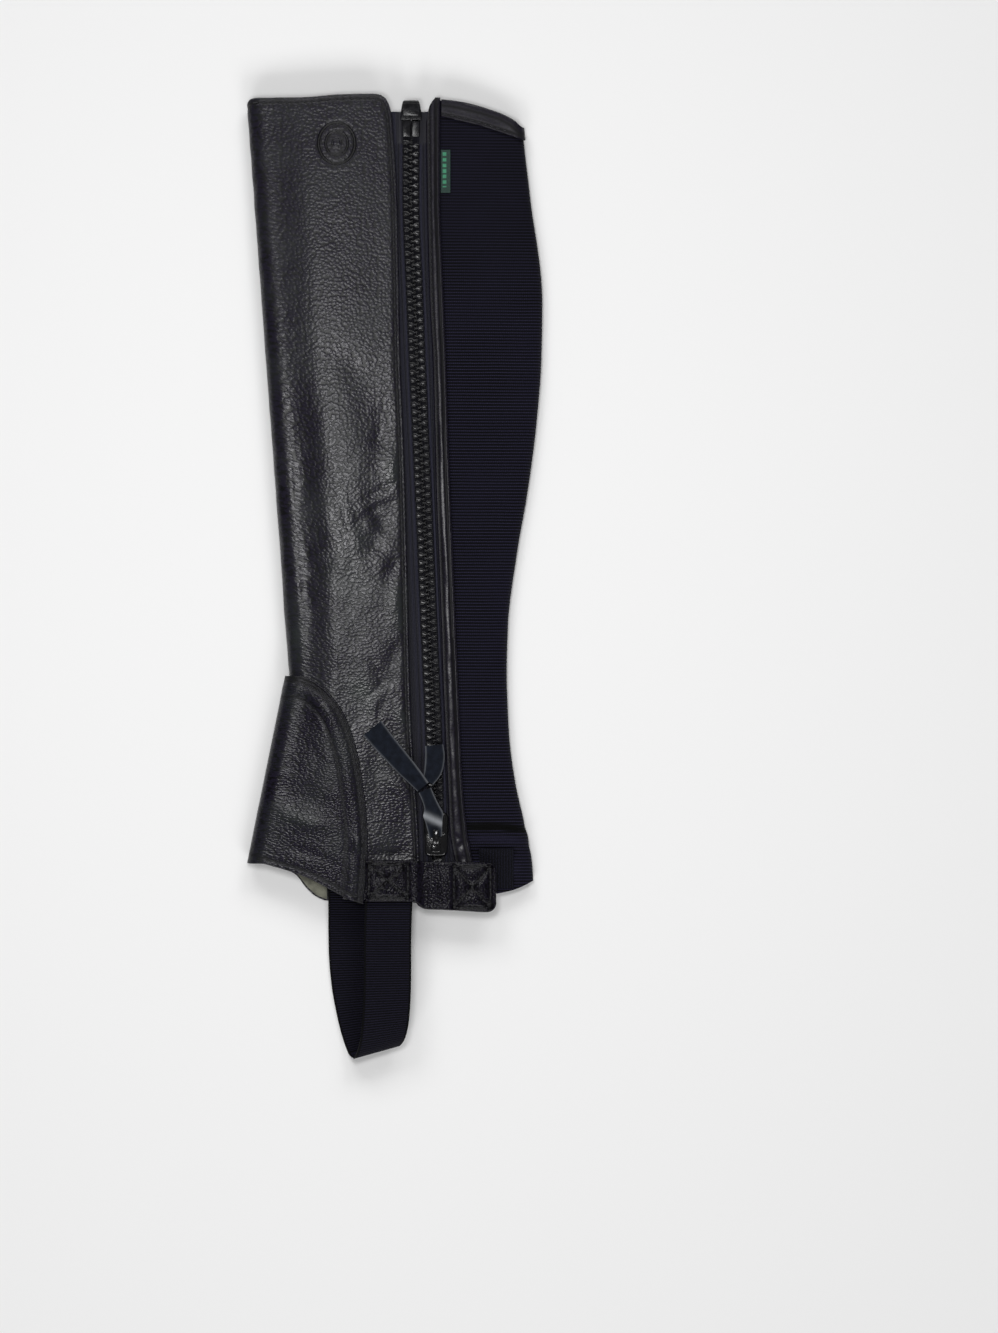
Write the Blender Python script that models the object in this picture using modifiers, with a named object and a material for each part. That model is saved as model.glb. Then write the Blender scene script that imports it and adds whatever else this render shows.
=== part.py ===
"""Half chap of black leather and ribbed elastic, lying on its inner side with the zip closed.

The leg is a flattened tube. Every piece is a wall whose outer face follows one shared form: flat on the
surface below, rounded at the front and back folds, and gently crowned above. Seen from above, +Y points
to the top of the chap and +X to its elastic back. Sizes are in millimetres, scaled to metres once.
"""

import math

import bmesh
import bpy
import numpy as np
from mathutils import Vector

MM = 0.001

# Cloths and gaps
LEATHER = 1.7
THIN_LEATHER = 1.2
ELASTIC = 1.5
WEBBING = 1.4
TAPE = 0.8
LABEL = 0.6
LINING = 1.0
GAP = 0.3
LAP = LEATHER + GAP  # how far a lapped leather piece lies above what it covers

# Folds of the flattened tube, as half widths seen from above
FRONT_FOLD = 9.0
BACK_FOLD = 5.0

# Seams
TOE_LAP = 11.0  # the shaft runs this far under the toe piece
STRIP_RIDGE = 0.8  # how much its middle stands above its edges
TAPE_UNDER = 6.0  # the zip tape runs this far under the shaft's edge
ELASTIC_UNDER = 33.0  # the elastic runs this far round the back, on the under side

# Zip
CHAIN_WIDE = 9.2
CHAIN_THICK = 1.6
CHAIN_TOP = 232.0
CHAIN_END = -124.6
TAPE_TOP = 246.0
TAPE_END = -171.0
SLIDER_LONG = 23.4
SLIDER_WIDE = 13.0
SLIDER_TALL = 3.6
SLIDER_CORNER = 3.4
PLATE_WIDE = 9.2
PLATE_THICK = 1.2
POST_WIDE = 2.4
BRIDGE_WIDE = 3.2
BRIDGE_ROOM = 2.8  # height under the bridge bar, for the thong
BRIDGE_BAR = 1.4

# Moulded box at the zip's top, and its two pins
BOX_TOP = 251.8
BOX_FOOT = 241.4
BOX_SHOULDER = 247.4
BOX_THICK = 3.2
BOX_HALF = (5.7, 5.2, 4.0)  # half widths at its foot, its shoulder and its top
PIN_WIDE = 4.2
PIN_DEEP = 2.0
PIN_APART = 0.6

# Straps
STIRRUP_WIDE = 25.0
THONG_THICK = 1.4

# The form at a few stations down the leg. front, edge, zip, strip, strip_end and back are places across:
# the front fold, the shaft's edge beside the zip, the row of teeth, the strip's two edges and the back
# fold. The heights are those of the lowest layer's outer face: at the front fold, the crown of the
# leather, the zip and the back fold.
STATION_COLUMNS = (
    "y", "front", "edge", "zip", "strip", "strip_end", "back", "front_h", "crown_h", "zip_h", "back_h",
)
STATIONS = (
    (260.0, -79.4, -1.9, 8.8, 16.7, 24.4, 67.4, 10.0, 11.0, 9.4, 7.4),
    (246.0, -78.4, -1.3, 8.8, 16.7, 24.3, 67.6, 10.0, 11.4, 9.5, 7.5),
    (205.0, -75.3, 1.4, 8.7, 17.2, 24.2, 71.6, 10.6, 12.8, 10.0, 7.8),
    (145.0, -70.8, 2.7, 10.8, 18.6, 26.3, 78.5, 11.4, 14.0, 10.8, 8.2),
    (115.0, -68.6, 3.2, 12.0, 20.2, 27.5, 78.0, 11.6, 14.2, 11.0, 8.4),
    (80.0, -66.0, 4.7, 13.6, 21.1, 28.5, 75.3, 11.6, 14.4, 11.0, 8.4),
    (45.0, -63.3, 5.9, 15.2, 22.0, 29.7, 70.7, 11.4, 14.2, 10.8, 8.2),
    (10.0, -60.7, 6.8, 16.7, 23.2, 31.2, 64.7, 11.2, 14.0, 10.6, 8.2),
    (-25.0, -58.1, 7.6, 18.2, 24.6, 32.6, 60.3, 11.0, 13.8, 10.6, 8.2),
    (-51.0, -56.4, 8.2, 19.4, 25.4, 33.7, 59.6, 10.8, 13.6, 10.6, 8.2),
    (-80.0, -63.3, 9.2, 20.7, 26.6, 34.9, 60.6, 10.6, 13.0, 10.4, 8.0),
    (-110.0, -69.5, 11.2, 21.4, 28.0, 36.2, 64.2, 10.4, 12.4, 10.0, 7.8),
    (-135.0, -74.7, 12.8, 22.0, 29.2, 38.6, 69.8, 10.2, 11.8, 9.8, 7.6),
    (-152.0, -78.2, 13.4, 22.5, 32.0, 41.8, 73.0, 10.0, 11.4, 9.6, 7.4),
    (-178.0, -83.4, 13.6, 23.0, 37.0, 46.5, 74.6, 9.8, 11.0, 9.4, 7.2),
)

# Front lines of the two leather pieces, each straight, as (y, x) at its two ends
SHAFT_FRONT = ((250.0, -78.42), (-51.0, -56.0))
TOE_FRONT = ((-54.0, -58.4), (-149.5, -77.8))

# Outlines seen from above, as (x, y), each smoothed through its points
TOE_SEAM = (
    (-60.0, -52.5), (-48.5, -53.0), (-36.3, -60.5), (-26.5, -73.0), (-19.6, -93.0),
    (-15.6, -117.0), (-13.9, -139.0), (-14.8, -158.0), (-16.4, -174.0),
)
TOE_HEM = ((-16.4, -174.0), (-24.0, -171.4), (-32.6, -166.7), (-48.5, -158.8), (-77.9, -150.0))
TOE_HEM_INNER = (
    (-16.4, -171.6), (-26.0, -172.2), (-36.0, -172.4), (-42.1, -170.1), (-46.9, -165.9),
    (-52.7, -158.6), (-64.0, -153.6), (-77.9, -150.0),
)
SHAFT_TOP = (
    (-78.9, 250.2), (-77.2, 252.4), (-73.0, 253.3), (-50.0, 253.4), (-29.0, 255.0), (-11.0, 255.4),
    (-7.0, 254.6), (-4.4, 252.6), (-2.6, 249.0), (-1.3, 244.0),
)
INNER_TOP = ((-78.9, 250.2), (-40.0, 246.6), (0.0, 243.0), (67.6, 238.0))
BINDING_TOP = ((20.0, 252.9), (32.1, 251.8), (51.7, 247.0), (62.0, 242.6), (67.6, 238.0))
BINDING_LOW = ((20.0, 244.4), (25.2, 243.3), (44.8, 238.8), (67.6, 231.6))
BINDING_LOW_INNER = ((20.0, 233.8), (44.0, 231.8), (67.6, 231.6))
HEM_OUTER = ((20.0, -170.4), (42.0, -170.0), (54.0, -168.5), (63.5, -166.4), (74.0, -161.6))
HEM_INNER = ((-17.0, -171.0), (10.0, -169.2), (50.0, -165.4), (74.0, -161.6))
SHAFT_HEM_Y = -171.4

# Centre line of the stirrup loop, from under the tab, round its turn and back inside the chap.
# lean is how much higher up the chap its right edge lies than its left, dip how much lower.
STIRRUP_COLUMNS = ("x", "y", "z", "lean", "dip")
STIRRUP = (
    (-1.0, -152.5, 13.9, 0.0, 0.7),
    (-1.4, -162.0, 13.8, 0.0, 0.65),
    (-2.9, -173.5, 13.75, 0.0, 0.6),
    (-3.5, -190.0, 15.2, 0.0, 0.3),
    (-3.5, -208.0, 17.2, 0.3, 0.0),
    (-3.8, -224.0, 18.2, 1.0, 0.0),
    (-4.6, -236.0, 17.6, 2.6, 0.8),
    (-6.2, -245.5, 14.8, 4.6, 2.0),
    (-8.8, -251.4, 10.2, 6.6, 3.0),
    (-11.4, -251.6, 6.0, 6.6, 2.6),
    (-13.8, -247.6, 2.7, 5.4, 1.2),
    (-16.4, -240.0, 1.1, 4.0, 0.2),
    (-18.8, -230.0, 0.75, 2.6, 0.0),
    (-21.0, -218.0, 0.75, 1.4, 0.0),
    (-22.4, -204.0, 0.75, 0.4, 0.0),
    (-22.8, -190.0, 0.9, 0.0, 0.0),
    (-22.8, -179.0, 1.9, 0.0, 0.0),
    (-22.8, -170.0, 2.8, 0.0, 0.0),
    (-22.8, -152.0, 2.8, 0.0, 0.0),
)

# Lie of the closing tab, from its sewn square over the zip to its free end: how far its under side is
# above the lowest layer, and where its two long edges are
TAB_COLUMNS = ("x", "under", "upper", "lower")
TAB = (
    (-15.2, 4.5, -150.4, -172.6),
    (-8.0, 4.3, -150.4, -172.6),
    (0.0, 4.2, -150.4, -172.5),
    (8.0, 4.3, -150.4, -172.5),
    (12.0, 4.3, -150.6, -173.2),
    (14.2, 3.1, -151.0, -175.2),
    (16.4, 2.6, -151.2, -176.4),
    (18.8, 3.2, -151.2, -176.6),
    (23.0, 4.2, -151.2, -176.7),
    (30.0, 4.5, -151.2, -177.0),
    (40.0, 4.5, -151.3, -177.6),
    (48.0, 4.5, -151.6, -178.0),
    (54.0, 4.5, -152.0, -178.0),
)
TAB_CORNER = 5.0
HOOK_BOX = (33.0, 51.0, -174.6, -154.4)  # low x, high x, low y, high y
HOOK_THICK = 1.1
HOOK_LIFT = 4.2  # its face above the lowest layer, 0.3 under the tab
PATCH_BOX = (45.0, 63.2, -165.6, -144.6)
LOOP_THICK = 1.2

# Thong tied on the slider: centre line above the lowest layer, width, and the edges' tilt across
THONG_COLUMNS = ("x", "y", "above", "wide", "tilt")
THONG_TAIL = (
    (-10.8, -80.4, 2.5, 13.6, 0.0),
    (-6.6, -85.4, 2.6, 11.4, 0.0),
    (0.0, -92.4, 3.0, 10.0, 1.0),
    (6.4, -99.4, 3.9, 9.0, 2.0),
    (11.6, -106.0, 5.2, 7.6, 3.0),
    (15.6, -112.0, 6.4, 6.4, 3.0),
)
THONG_END = (
    (22.6, -92.4, 3.4, 10.0, -1.5),
    (21.2, -98.0, 3.7, 10.4, -1.5),
    (19.2, -104.4, 4.4, 8.6, -1.0),
    (17.6, -109.2, 4.8, 6.4, 0.0),
)
THONG_LOOP = (
    (16.8, -113.9, 6.2, 7.0, 0.0),
    (17.6, -118.4, 7.0, 9.6, 0.0),
    (19.0, -123.4, 7.2, 11.0, 1.0),
    (20.2, -128.6, 6.3, 10.4, 1.0),
    (21.2, -132.6, 4.9, 9.0, 0.0),
    (21.9, -138.2, 4.8, 7.0, 0.0),
)

LABEL_BOX = (24.6, 29.6, 203.0, 225.8)
LINING_OUTLINE = (
    (-66.5, -149.0), (-50.0, -146.0), (-36.0, -146.0), (-36.0, -171.8), (-41.7, -169.5),
    (-46.3, -165.2), (-51.9, -158.0), (-60.0, -154.2),
)

# Grids
ROW_STEP = 12.5
UPPER_COLUMNS = 9
FOLD_COLUMNS = 7
LOWER_COLUMNS = 6
ELASTIC_ROWS = 28
SPLIT = 5.0  # height at which the cutters of the upper and the under face meet
FAR = 110.0  # sideways past every piece
OVER = 60.0  # above and below every piece


def slopes(xs, ys):
    """Slopes of a smooth curve through the points that never swings past them."""
    step = np.diff(xs)
    rise = np.diff(ys) / step
    found = np.zeros(len(xs))
    for i in range(1, len(xs) - 1):
        if rise[i - 1] * rise[i] > 0:
            before, after = 2 * step[i] + step[i - 1], step[i] + 2 * step[i - 1]
            found[i] = (before + after) / (before / rise[i - 1] + after / rise[i])
    return found


def smooth(xs, ys, at, end_slopes=None):
    """Value at a place on the smooth curve through (xs, ys), held past its ends."""
    xs, ys = np.asarray(xs, float), np.asarray(ys, float)
    slope = slopes(xs, ys)
    if end_slopes is None:
        slope[0], slope[-1] = (ys[1] - ys[0]) / (xs[1] - xs[0]), (ys[-1] - ys[-2]) / (xs[-1] - xs[-2])
    else:
        slope[0], slope[-1] = end_slopes
    at = min(max(at, xs[0]), xs[-1])
    i = int(np.clip(np.searchsorted(xs, at) - 1, 0, len(xs) - 2))
    step = xs[i + 1] - xs[i]
    t = (at - xs[i]) / step
    return (
        ys[i] * (1 + 2 * t) * (1 - t) ** 2
        + ys[i + 1] * t * t * (3 - 2 * t)
        + step * (slope[i] * t * (1 - t) ** 2 + slope[i + 1] * t * t * (t - 1))
    )


def column(columns, rows, name):
    return [row[columns.index(name)] for row in rows]


def station(name, y):
    """A column of the station table at any place down the leg."""
    ys = column(STATION_COLUMNS, STATIONS, "y")[::-1]
    return smooth(ys, column(STATION_COLUMNS, STATIONS, name)[::-1], y)


def straight(ends, y):
    """Place across of a straight line given as two (y, x) ends."""
    (y0, x0), (y1, x1) = ends
    return x0 + (x1 - x0) * (y - y0) / (y1 - y0)


def height(x, y):
    """Height of the lowest layer's outer face above the surface that the chap lies on."""
    front, edge, zip_x, strip, strip_end, back = (station(n, y) for n in STATION_COLUMNS[1:7])
    front_h, crown_h, zip_h, back_h = (station(n, y) for n in STATION_COLUMNS[7:])
    crown = front + 0.42 * (edge - front)
    places = (
        front + FRONT_FOLD, crown, edge, zip_x,
        0.5 * (strip + strip_end), 0.5 * (strip_end + back), back - BACK_FOLD,
    )
    heights = (front_h, crown_h, zip_h + 0.7, zip_h, zip_h + 0.3, 0.5 * (zip_h + back_h), back_h)
    return smooth(places, heights, x, end_slopes=(0.0, 0.0))


def outline_y(points, x):
    """y of an outline that runs across the leg, at a place across."""
    ordered = sorted(points)
    return smooth([p[0] for p in ordered], [p[1] for p in ordered], x)


def curve(points, steps=4):
    """Points of a smooth plan curve through a few points."""
    p = [Vector((x, y)) for x, y in points]
    p = [2 * p[0] - p[1], *p, 2 * p[-1] - p[-2]]
    found = []
    for a, b, c, d in zip(p, p[1:], p[2:], p[3:]):
        for k in range(steps):
            t = k / steps
            found.append(
                0.5 * (2 * b + (c - a) * t + (2 * a - 5 * b + 4 * c - d) * t * t
                       + (3 * b - a - 3 * c + d) * t ** 3)
            )
    return [(v.x, v.y) for v in [*found, p[-2]]]


def shifted(points, distance):
    """A plan curve moved sideways, to the left of its direction when distance is positive."""
    moved = []
    for i, (x, y) in enumerate(points):
        (x0, y0), (x1, y1) = points[max(i - 1, 0)], points[min(i + 1, len(points) - 1)]
        long = math.hypot(x1 - x0, y1 - y0)
        moved.append((x - distance * (y1 - y0) / long, y + distance * (x1 - x0) / long))
    return moved


def steps_between(high, low, step=ROW_STEP):
    return np.linspace(high, low, max(2, round(abs(high - low) / step) + 1))


def fold(centre, half_wide, top, turn):
    """Points of a fold between the upper and under face, turn -1 at the front and 1 at the back."""
    found = []
    for angle in np.linspace(0.5 * math.pi, -0.5 * math.pi, FOLD_COLUMNS + 2)[1:-1]:
        x = centre + turn * half_wide * math.cos(angle)
        found.append((x, 0.5 * top * (1 + math.sin(angle))))
    return found


def wrapped(y, front, start, end, lift):
    """Outer line of a piece that goes from the upper face round the front fold to the under side."""
    turn = front + FRONT_FOLD
    upper = [(x, height(x, y) + lift) for x in np.linspace(start, turn, UPPER_COLUMNS)]
    under = [(x, 0.0) for x in np.linspace(turn, end, LOWER_COLUMNS)]
    return upper + fold(turn, FRONT_FOLD, upper[-1][1], -1) + under


# Objects


def clear_scene():
    for thing in list(bpy.data.objects):
        bpy.data.objects.remove(thing, do_unlink=True)


def collection(name):
    made = bpy.data.collections.new(name)
    bpy.context.scene.collection.children.link(made)
    return made


clear_scene()
parts = collection("half_chap")
cutters = collection("cutters")


def material(name, color, roughness, metallic=0.0):
    made = bpy.data.materials.new(name)
    made.use_nodes = True
    shader = made.node_tree.nodes["Principled BSDF"]
    shader.inputs["Base Color"].default_value = (*color, 1.0)
    shader.inputs["Roughness"].default_value = roughness
    shader.inputs["Metallic"].default_value = metallic
    return made


def surface(name, grid):
    """Open mesh of a grid of points. Its faces look up where the rows run down the leg and each row's
    points run from right to left."""
    rows, columns = len(grid), len(grid[0])
    mesh = bpy.data.meshes.new(name)
    shape = bmesh.new()
    points = [[shape.verts.new(Vector(p) * MM) for p in row] for row in grid]
    for i in range(rows - 1):
        for j in range(columns - 1):
            shape.faces.new((points[i][j], points[i][j + 1], points[i + 1][j + 1], points[i + 1][j]))
    shape.to_mesh(mesh)
    shape.free()
    return bpy.data.objects.new(name, mesh)


def wall(name, grid, thickness, finish, side=-1.0):
    """A piece of cloth: a grid of its face, made solid to the other side (side -1), or to both (0)."""
    made = surface(name, grid)
    solid = made.modifiers.new("thickness", "SOLIDIFY")
    solid.thickness = thickness * MM
    solid.offset = side
    solid.use_even_offset = True
    made.data.materials.append(finish)
    parts.objects.link(made)
    return made


def prism(name, outline, low, high, into):
    """Closed mesh of a plan outline between two heights, from a filled and extruded flat curve."""
    drawn = bpy.data.curves.new(name, "CURVE")
    drawn.dimensions = "2D"
    drawn.fill_mode = "BOTH"
    drawn.extrude = 0.5 * (high - low) * MM
    line = drawn.splines.new("POLY")
    line.points.add(len(outline) - 1)
    for point, (x, y) in zip(line.points, outline):
        point.co = (x * MM, y * MM, 0.0, 1.0)
    line.use_cyclic_u = True
    flat = bpy.data.objects.new(name, drawn)
    into.objects.link(flat)
    flat.location.z = 0.5 * (low + high) * MM
    bpy.context.view_layer.update()
    seen = flat.evaluated_get(bpy.context.evaluated_depsgraph_get())
    mesh = bpy.data.meshes.new_from_object(seen)
    made = bpy.data.objects.new(name, mesh)
    made.matrix_world = flat.matrix_world.copy()
    bpy.data.objects.remove(flat)
    shape = bmesh.new()
    shape.from_mesh(mesh)
    bmesh.ops.remove_doubles(shape, verts=shape.verts, dist=0.01 * MM)
    bmesh.ops.recalc_face_normals(shape, faces=shape.faces)
    shape.to_mesh(mesh)
    shape.free()
    made.name = name
    into.objects.link(made)
    return made


def as_tool(made):
    made.hide_render = True
    made.display_type = "WIRE"
    return made


def cutter(name, outline, low, high):
    return as_tool(prism(name, outline, low, high, cutters))


def cut(piece, tool, how="DIFFERENCE"):
    step = piece.modifiers.new(tool.name, "BOOLEAN")
    step.operation = how
    step.object = tool


def block(name, low, high, into):
    """A box between two corners."""
    shape = bmesh.new()
    bmesh.ops.create_cube(shape, size=1.0)
    size = [b - a for a, b in zip(low, high)]
    middle = [0.5 * (a + b) for a, b in zip(low, high)]
    bmesh.ops.scale(shape, vec=Vector(size) * MM, verts=shape.verts)
    bmesh.ops.translate(shape, vec=Vector(middle) * MM, verts=shape.verts)
    mesh = bpy.data.meshes.new(name)
    shape.to_mesh(mesh)
    shape.free()
    made = bpy.data.objects.new(name, mesh)
    into.objects.link(made)
    return made


def rounded_box(box, radius, steps=4):
    """Plan outline of a box given as low x, high x, low y, high y, with round corners."""
    x0, x1, y0, y1 = box
    corners = ((x1, y1, 0.0), (x0, y1, 90.0), (x0, y0, 180.0), (x1, y0, 270.0))
    found = []
    for x, y, start in corners:
        cx = x - math.copysign(radius, x - 0.5 * (x0 + x1))
        cy = y - math.copysign(radius, y - 0.5 * (y0 + y1))
        for angle in np.radians(np.linspace(start, start + 90.0, steps + 1)):
            found.append((cx + radius * math.cos(angle), cy + radius * math.sin(angle)))
    return found


# Pieces


def make_shaft(finish):
    """Leather from the zip edge round the front fold to the inner seam."""
    grid = []
    for y in steps_between(258.0, -176.0):
        front = straight(SHAFT_FRONT, y)
        seam = station("back", y) - ELASTIC_UNDER - GAP
        grid.append([(x, y, z) for x, z in wrapped(y, front, station("edge", y), seam, LAP)])
    shaft = wall("shaft_panel", grid, LEATHER, finish)
    top = [(-FAR, 250.2), *curve(SHAFT_TOP), (20.0, 244.0), (20.0, 280.0), (-FAR, 280.0)]
    cut(shaft, cutter("shaft_top_cut", top, SPLIT, OVER))
    inner = [(-FAR, 250.2), *curve(INNER_TOP), (FAR, 238.0), (FAR, 280.0), (-FAR, 280.0)]
    cut(shaft, cutter("inner_top_cut", inner, -OVER, SPLIT))
    lap = shifted(curve(TOE_SEAM), -TOE_LAP)
    lap = [(-FAR, lap[0][1]), *lap, (lap[-1][0], -200.0), (-FAR, -200.0)]
    cut(shaft, cutter("toe_lap_cut", lap, SPLIT, OVER))
    butt = shifted(curve(TOE_SEAM), GAP)
    butt = [(-FAR, butt[0][1]), *butt, (butt[-1][0], -200.0), (-FAR, -200.0)]
    cut(shaft, cutter("toe_butt_cut", butt, -OVER, SPLIT))
    hem = [(-40.0, SHAFT_HEM_Y), (40.0, SHAFT_HEM_Y), (40.0, -200.0), (-40.0, -200.0)]
    cut(shaft, cutter("shaft_hem_cut", hem, SPLIT, OVER))
    hem = [*curve(HEM_INNER), (80.0, -200.0), (-17.0, -200.0)]
    cut(shaft, cutter("inner_hem_cut", hem, -OVER, SPLIT))


def make_toe(finish):
    """Leather over the foot's front, lapped over the shaft above and butted to it below."""
    grid = []
    for y in steps_between(-44.0, -180.0, 9.0):
        front = straight(TOE_FRONT, y)
        grid.append([(x, y, z) for x, z in wrapped(y, front, -9.0, -9.0, 2 * LAP)])
    toe = wall("toe_piece", grid, LEATHER, finish)
    frame = ((-FAR, -200.0), (20.0, -200.0), (20.0, -20.0), (-FAR, -20.0))
    upper = [(-FAR, -52.5), *curve(TOE_SEAM), *curve(TOE_HEM)[1:], (-FAR, -150.0), *frame]
    cut(toe, cutter("toe_outer_cut", upper, SPLIT, OVER))
    lower = [(-FAR, -52.5), *curve(TOE_SEAM), *curve(TOE_HEM_INNER)[1:], (-FAR, -150.0), *frame]
    cut(toe, cutter("toe_inner_cut", lower, -OVER, SPLIT))


def make_lining(finish):
    """Thin lining on the inside of the toe piece's inner half."""
    made = prism("toe_lining", LINING_OUTLINE, LEATHER + GAP, LEATHER + GAP + LINING, parts)
    made.data.materials.append(finish)


def strip_middle(y):
    return 0.5 * (station("strip", y) + station("strip_end", y))


def split_half(y):
    """Half of the gap between the two tapes: closed above the slider and spread round its post."""
    return smooth((-180.0, -150.0, -130.0, -118.0, 260.0), (2.6, 2.6, 2.2, 0.5, 0.5), y)


def make_tapes(finish):
    """The two woven tapes, each from under its neighbour to the row of teeth."""
    front, back = [], []
    for y in steps_between(TAPE_TOP, TAPE_END):
        zip_x, half = station("zip", y), split_half(y)
        near = np.linspace(zip_x - half, station("edge", y) - TAPE_UNDER, 4)
        far = np.linspace(strip_middle(y) - 0.5 * GAP, zip_x + half, 3)
        front.append([(x, y, height(x, y)) for x in near])
        back.append([(x, y, height(x, y)) for x in far])
    wall("zip_tape_front", front, TAPE, finish)
    wall("zip_tape_back", back, TAPE, finish)


def make_chain(finish):
    """Envelope of the closed row of teeth, on both tapes."""
    grid = []
    for y in steps_between(CHAIN_TOP, CHAIN_END):
        middle = station("zip", y)
        across = np.linspace(middle + 0.5 * CHAIN_WIDE, middle - 0.5 * CHAIN_WIDE, 3)
        grid.append([(x, y, height(x, y) + GAP + CHAIN_THICK) for x in across])
    wall("zip_chain", grid, CHAIN_THICK, finish)


def make_box(finish):
    """Moulded box and the two pins that run from it to the first teeth."""
    middle = station("zip", TAPE_TOP)
    foot, shoulder, top = BOX_HALF
    low = max(height(middle + side, BOX_FOOT) for side in (-foot, 0.0, foot)) + GAP
    outline = [
        (middle - foot, BOX_FOOT), (middle + foot, BOX_FOOT), (middle + shoulder, BOX_SHOULDER),
        (middle + top, BOX_TOP), (middle - top, BOX_TOP), (middle - shoulder, BOX_SHOULDER),
    ]
    made = prism("zip_box", outline, low, low + BOX_THICK, parts)
    made.data.materials.append(finish)
    pin_end, pin_low = CHAIN_TOP + GAP, low + 0.5 * (BOX_THICK - PIN_DEEP)
    near = 0.5 * PIN_APART
    held = block(
        "box_pin", (middle - near - PIN_WIDE, pin_end, pin_low),
        (middle - near, BOX_SHOULDER, pin_low + PIN_DEEP), cutters,
    )
    cut(made, as_tool(held), "UNION")
    start = block(
        "zip_start_pin", (middle + near, pin_end, pin_low),
        (middle + near + PIN_WIDE, BOX_FOOT - GAP, pin_low + PIN_DEEP), parts,
    )
    start.data.materials.append(finish)


def make_slider(finish):
    """Slider body over the tapes, its plate below them, its post between and a bridge on top."""
    top = CHAIN_END - GAP
    foot = top - SLIDER_LONG
    half = 0.5 * SLIDER_WIDE
    x = station("zip", 0.5 * (top + foot))
    base = max(height(x + side, top) for side in (-half, 0.0, half)) + GAP
    under = min(height(x + side, foot) for side in (-half, 0.0, half)) - TAPE - GAP
    made = prism(
        "zip_slider", rounded_box((x - half, x + half, foot, top), SLIDER_CORNER),
        base, base + SLIDER_TALL, parts,
    )
    made.data.materials.append(finish)

    def bar(name, half_wide, long, tall):
        """A block on the slider's middle: long and tall are its ends from the top edge and heights."""
        low = (x - half_wide, top - long[1], tall[0])
        cut(made, as_tool(block(name, low, (x + half_wide, top - long[0], tall[1]), cutters)), "UNION")

    inside = base + 0.5 * SLIDER_TALL
    bar_low = base + SLIDER_TALL + BRIDGE_ROOM
    bar("slider_plate", 0.5 * PLATE_WIDE, (2.0, 17.0), (under - PLATE_THICK, under))
    bar("slider_post", 0.5 * POST_WIDE, (9.0, 13.0), (under - 0.5 * PLATE_THICK, inside))
    bar("bridge_head", 0.5 * BRIDGE_WIDE, (1.4, 3.6), (inside, base + SLIDER_TALL + 0.9))
    bar("bridge_foot", 0.5 * BRIDGE_WIDE, (14.6, 17.6), (inside, bar_low + BRIDGE_BAR))
    bar("bridge_bar", 0.5 * BRIDGE_WIDE, (9.5, 17.6), (bar_low, bar_low + BRIDGE_BAR))


def make_strip(finish):
    """Narrow leather strip, ridged along its middle, over the join of tape and elastic."""
    point = ((253.4, 5.0), (249.0, 2.0))  # its top end comes to a rounded point at the right
    rows = [*point, *((y, 0.0) for y in steps_between(240.0, -170.0))]
    grid = []
    for y, inset in rows:
        left, right = station("strip", y) + inset, station("strip_end", y)
        row = []
        for t in np.linspace(1.0, 0.0, 5):
            x = left + (right - left) * t
            row.append((x, y, height(x, y) + LAP + STRIP_RIDGE * math.sin(math.pi * t)))
        grid.append(row)
    wall("back_strip", grid, LEATHER, finish)


def back_lines(lift, start):
    """Lines down the leg round the elastic's form, from the strip to the inner seam. Each comes as the
    face it belongs to (0 upper, 1 under) and a function from y to its point (x, z)."""

    def upper(t):
        def place(y):
            near, turn = strip_middle(y) + 0.5 * GAP, station("back", y) - BACK_FOLD
            x = near + (turn - near) * t
            return x, height(x, y) + lift

        return place

    def folded(angle):
        def place(y):
            turn = station("back", y) - BACK_FOLD
            top = height(turn, y) + lift
            return turn + (BACK_FOLD + lift) * math.cos(angle), 0.5 * top * (1 + math.sin(angle))

        return place

    def under(t):
        def place(y):
            back = station("back", y)
            return back - BACK_FOLD + (BACK_FOLD - ELASTIC_UNDER) * t, 0.0

        return place

    quarter = 0.5 * math.pi
    return [
        *((0, upper(t)) for t in np.linspace(start, 1.0, UPPER_COLUMNS - 2)),
        *((0 if a > 0 else 1, folded(a)) for a in np.linspace(quarter, -quarter, FOLD_COLUMNS + 2)[1:-1]),
        *((1, under(t)) for t in np.linspace(0.0, 1.0, LOWER_COLUMNS - 1)),
    ]


def meeting(place, outline):
    """y at which a line down the leg meets a plan outline that crosses it."""
    y = outline[0][1]
    for _ in range(3):
        y = outline_y(outline, place(y)[0])
    return y


def back_grid(tops, lows, lift, rows, start=0.0):
    """Grid round the back fold between two ends, each a plan outline for the upper and the under face."""
    lines = []
    for face, place in back_lines(lift, start):
        down = np.linspace(meeting(place, tops[face]), meeting(place, lows[face]), rows)
        lines.append([(place(y)[0], y, place(y)[1]) for y in down])
    return [list(row) for row in zip(*lines[::-1])]


def make_elastic(finish):
    """Ribbed elastic from under the strip, round the back fold, to the inner seam."""
    under_binding = [(x, y - 1.2) for x, y in BINDING_TOP]
    below_binding = [(x, y - GAP) for x, y in BINDING_LOW_INNER]
    grid = back_grid((under_binding, below_binding), (HEM_OUTER, HEM_INNER), 0.0, ELASTIC_ROWS)
    wall("elastic_panel", grid, ELASTIC, finish)


def make_binding(finish):
    """Leather binding along the top edge of the elastic, lapped above and butted below."""
    lift = THIN_LEATHER + GAP
    grid = back_grid((BINDING_TOP, INNER_TOP), (BINDING_LOW, BINDING_LOW_INNER), lift, 3, start=0.12)
    wall("elastic_binding", grid, THIN_LEATHER, finish)


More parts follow.
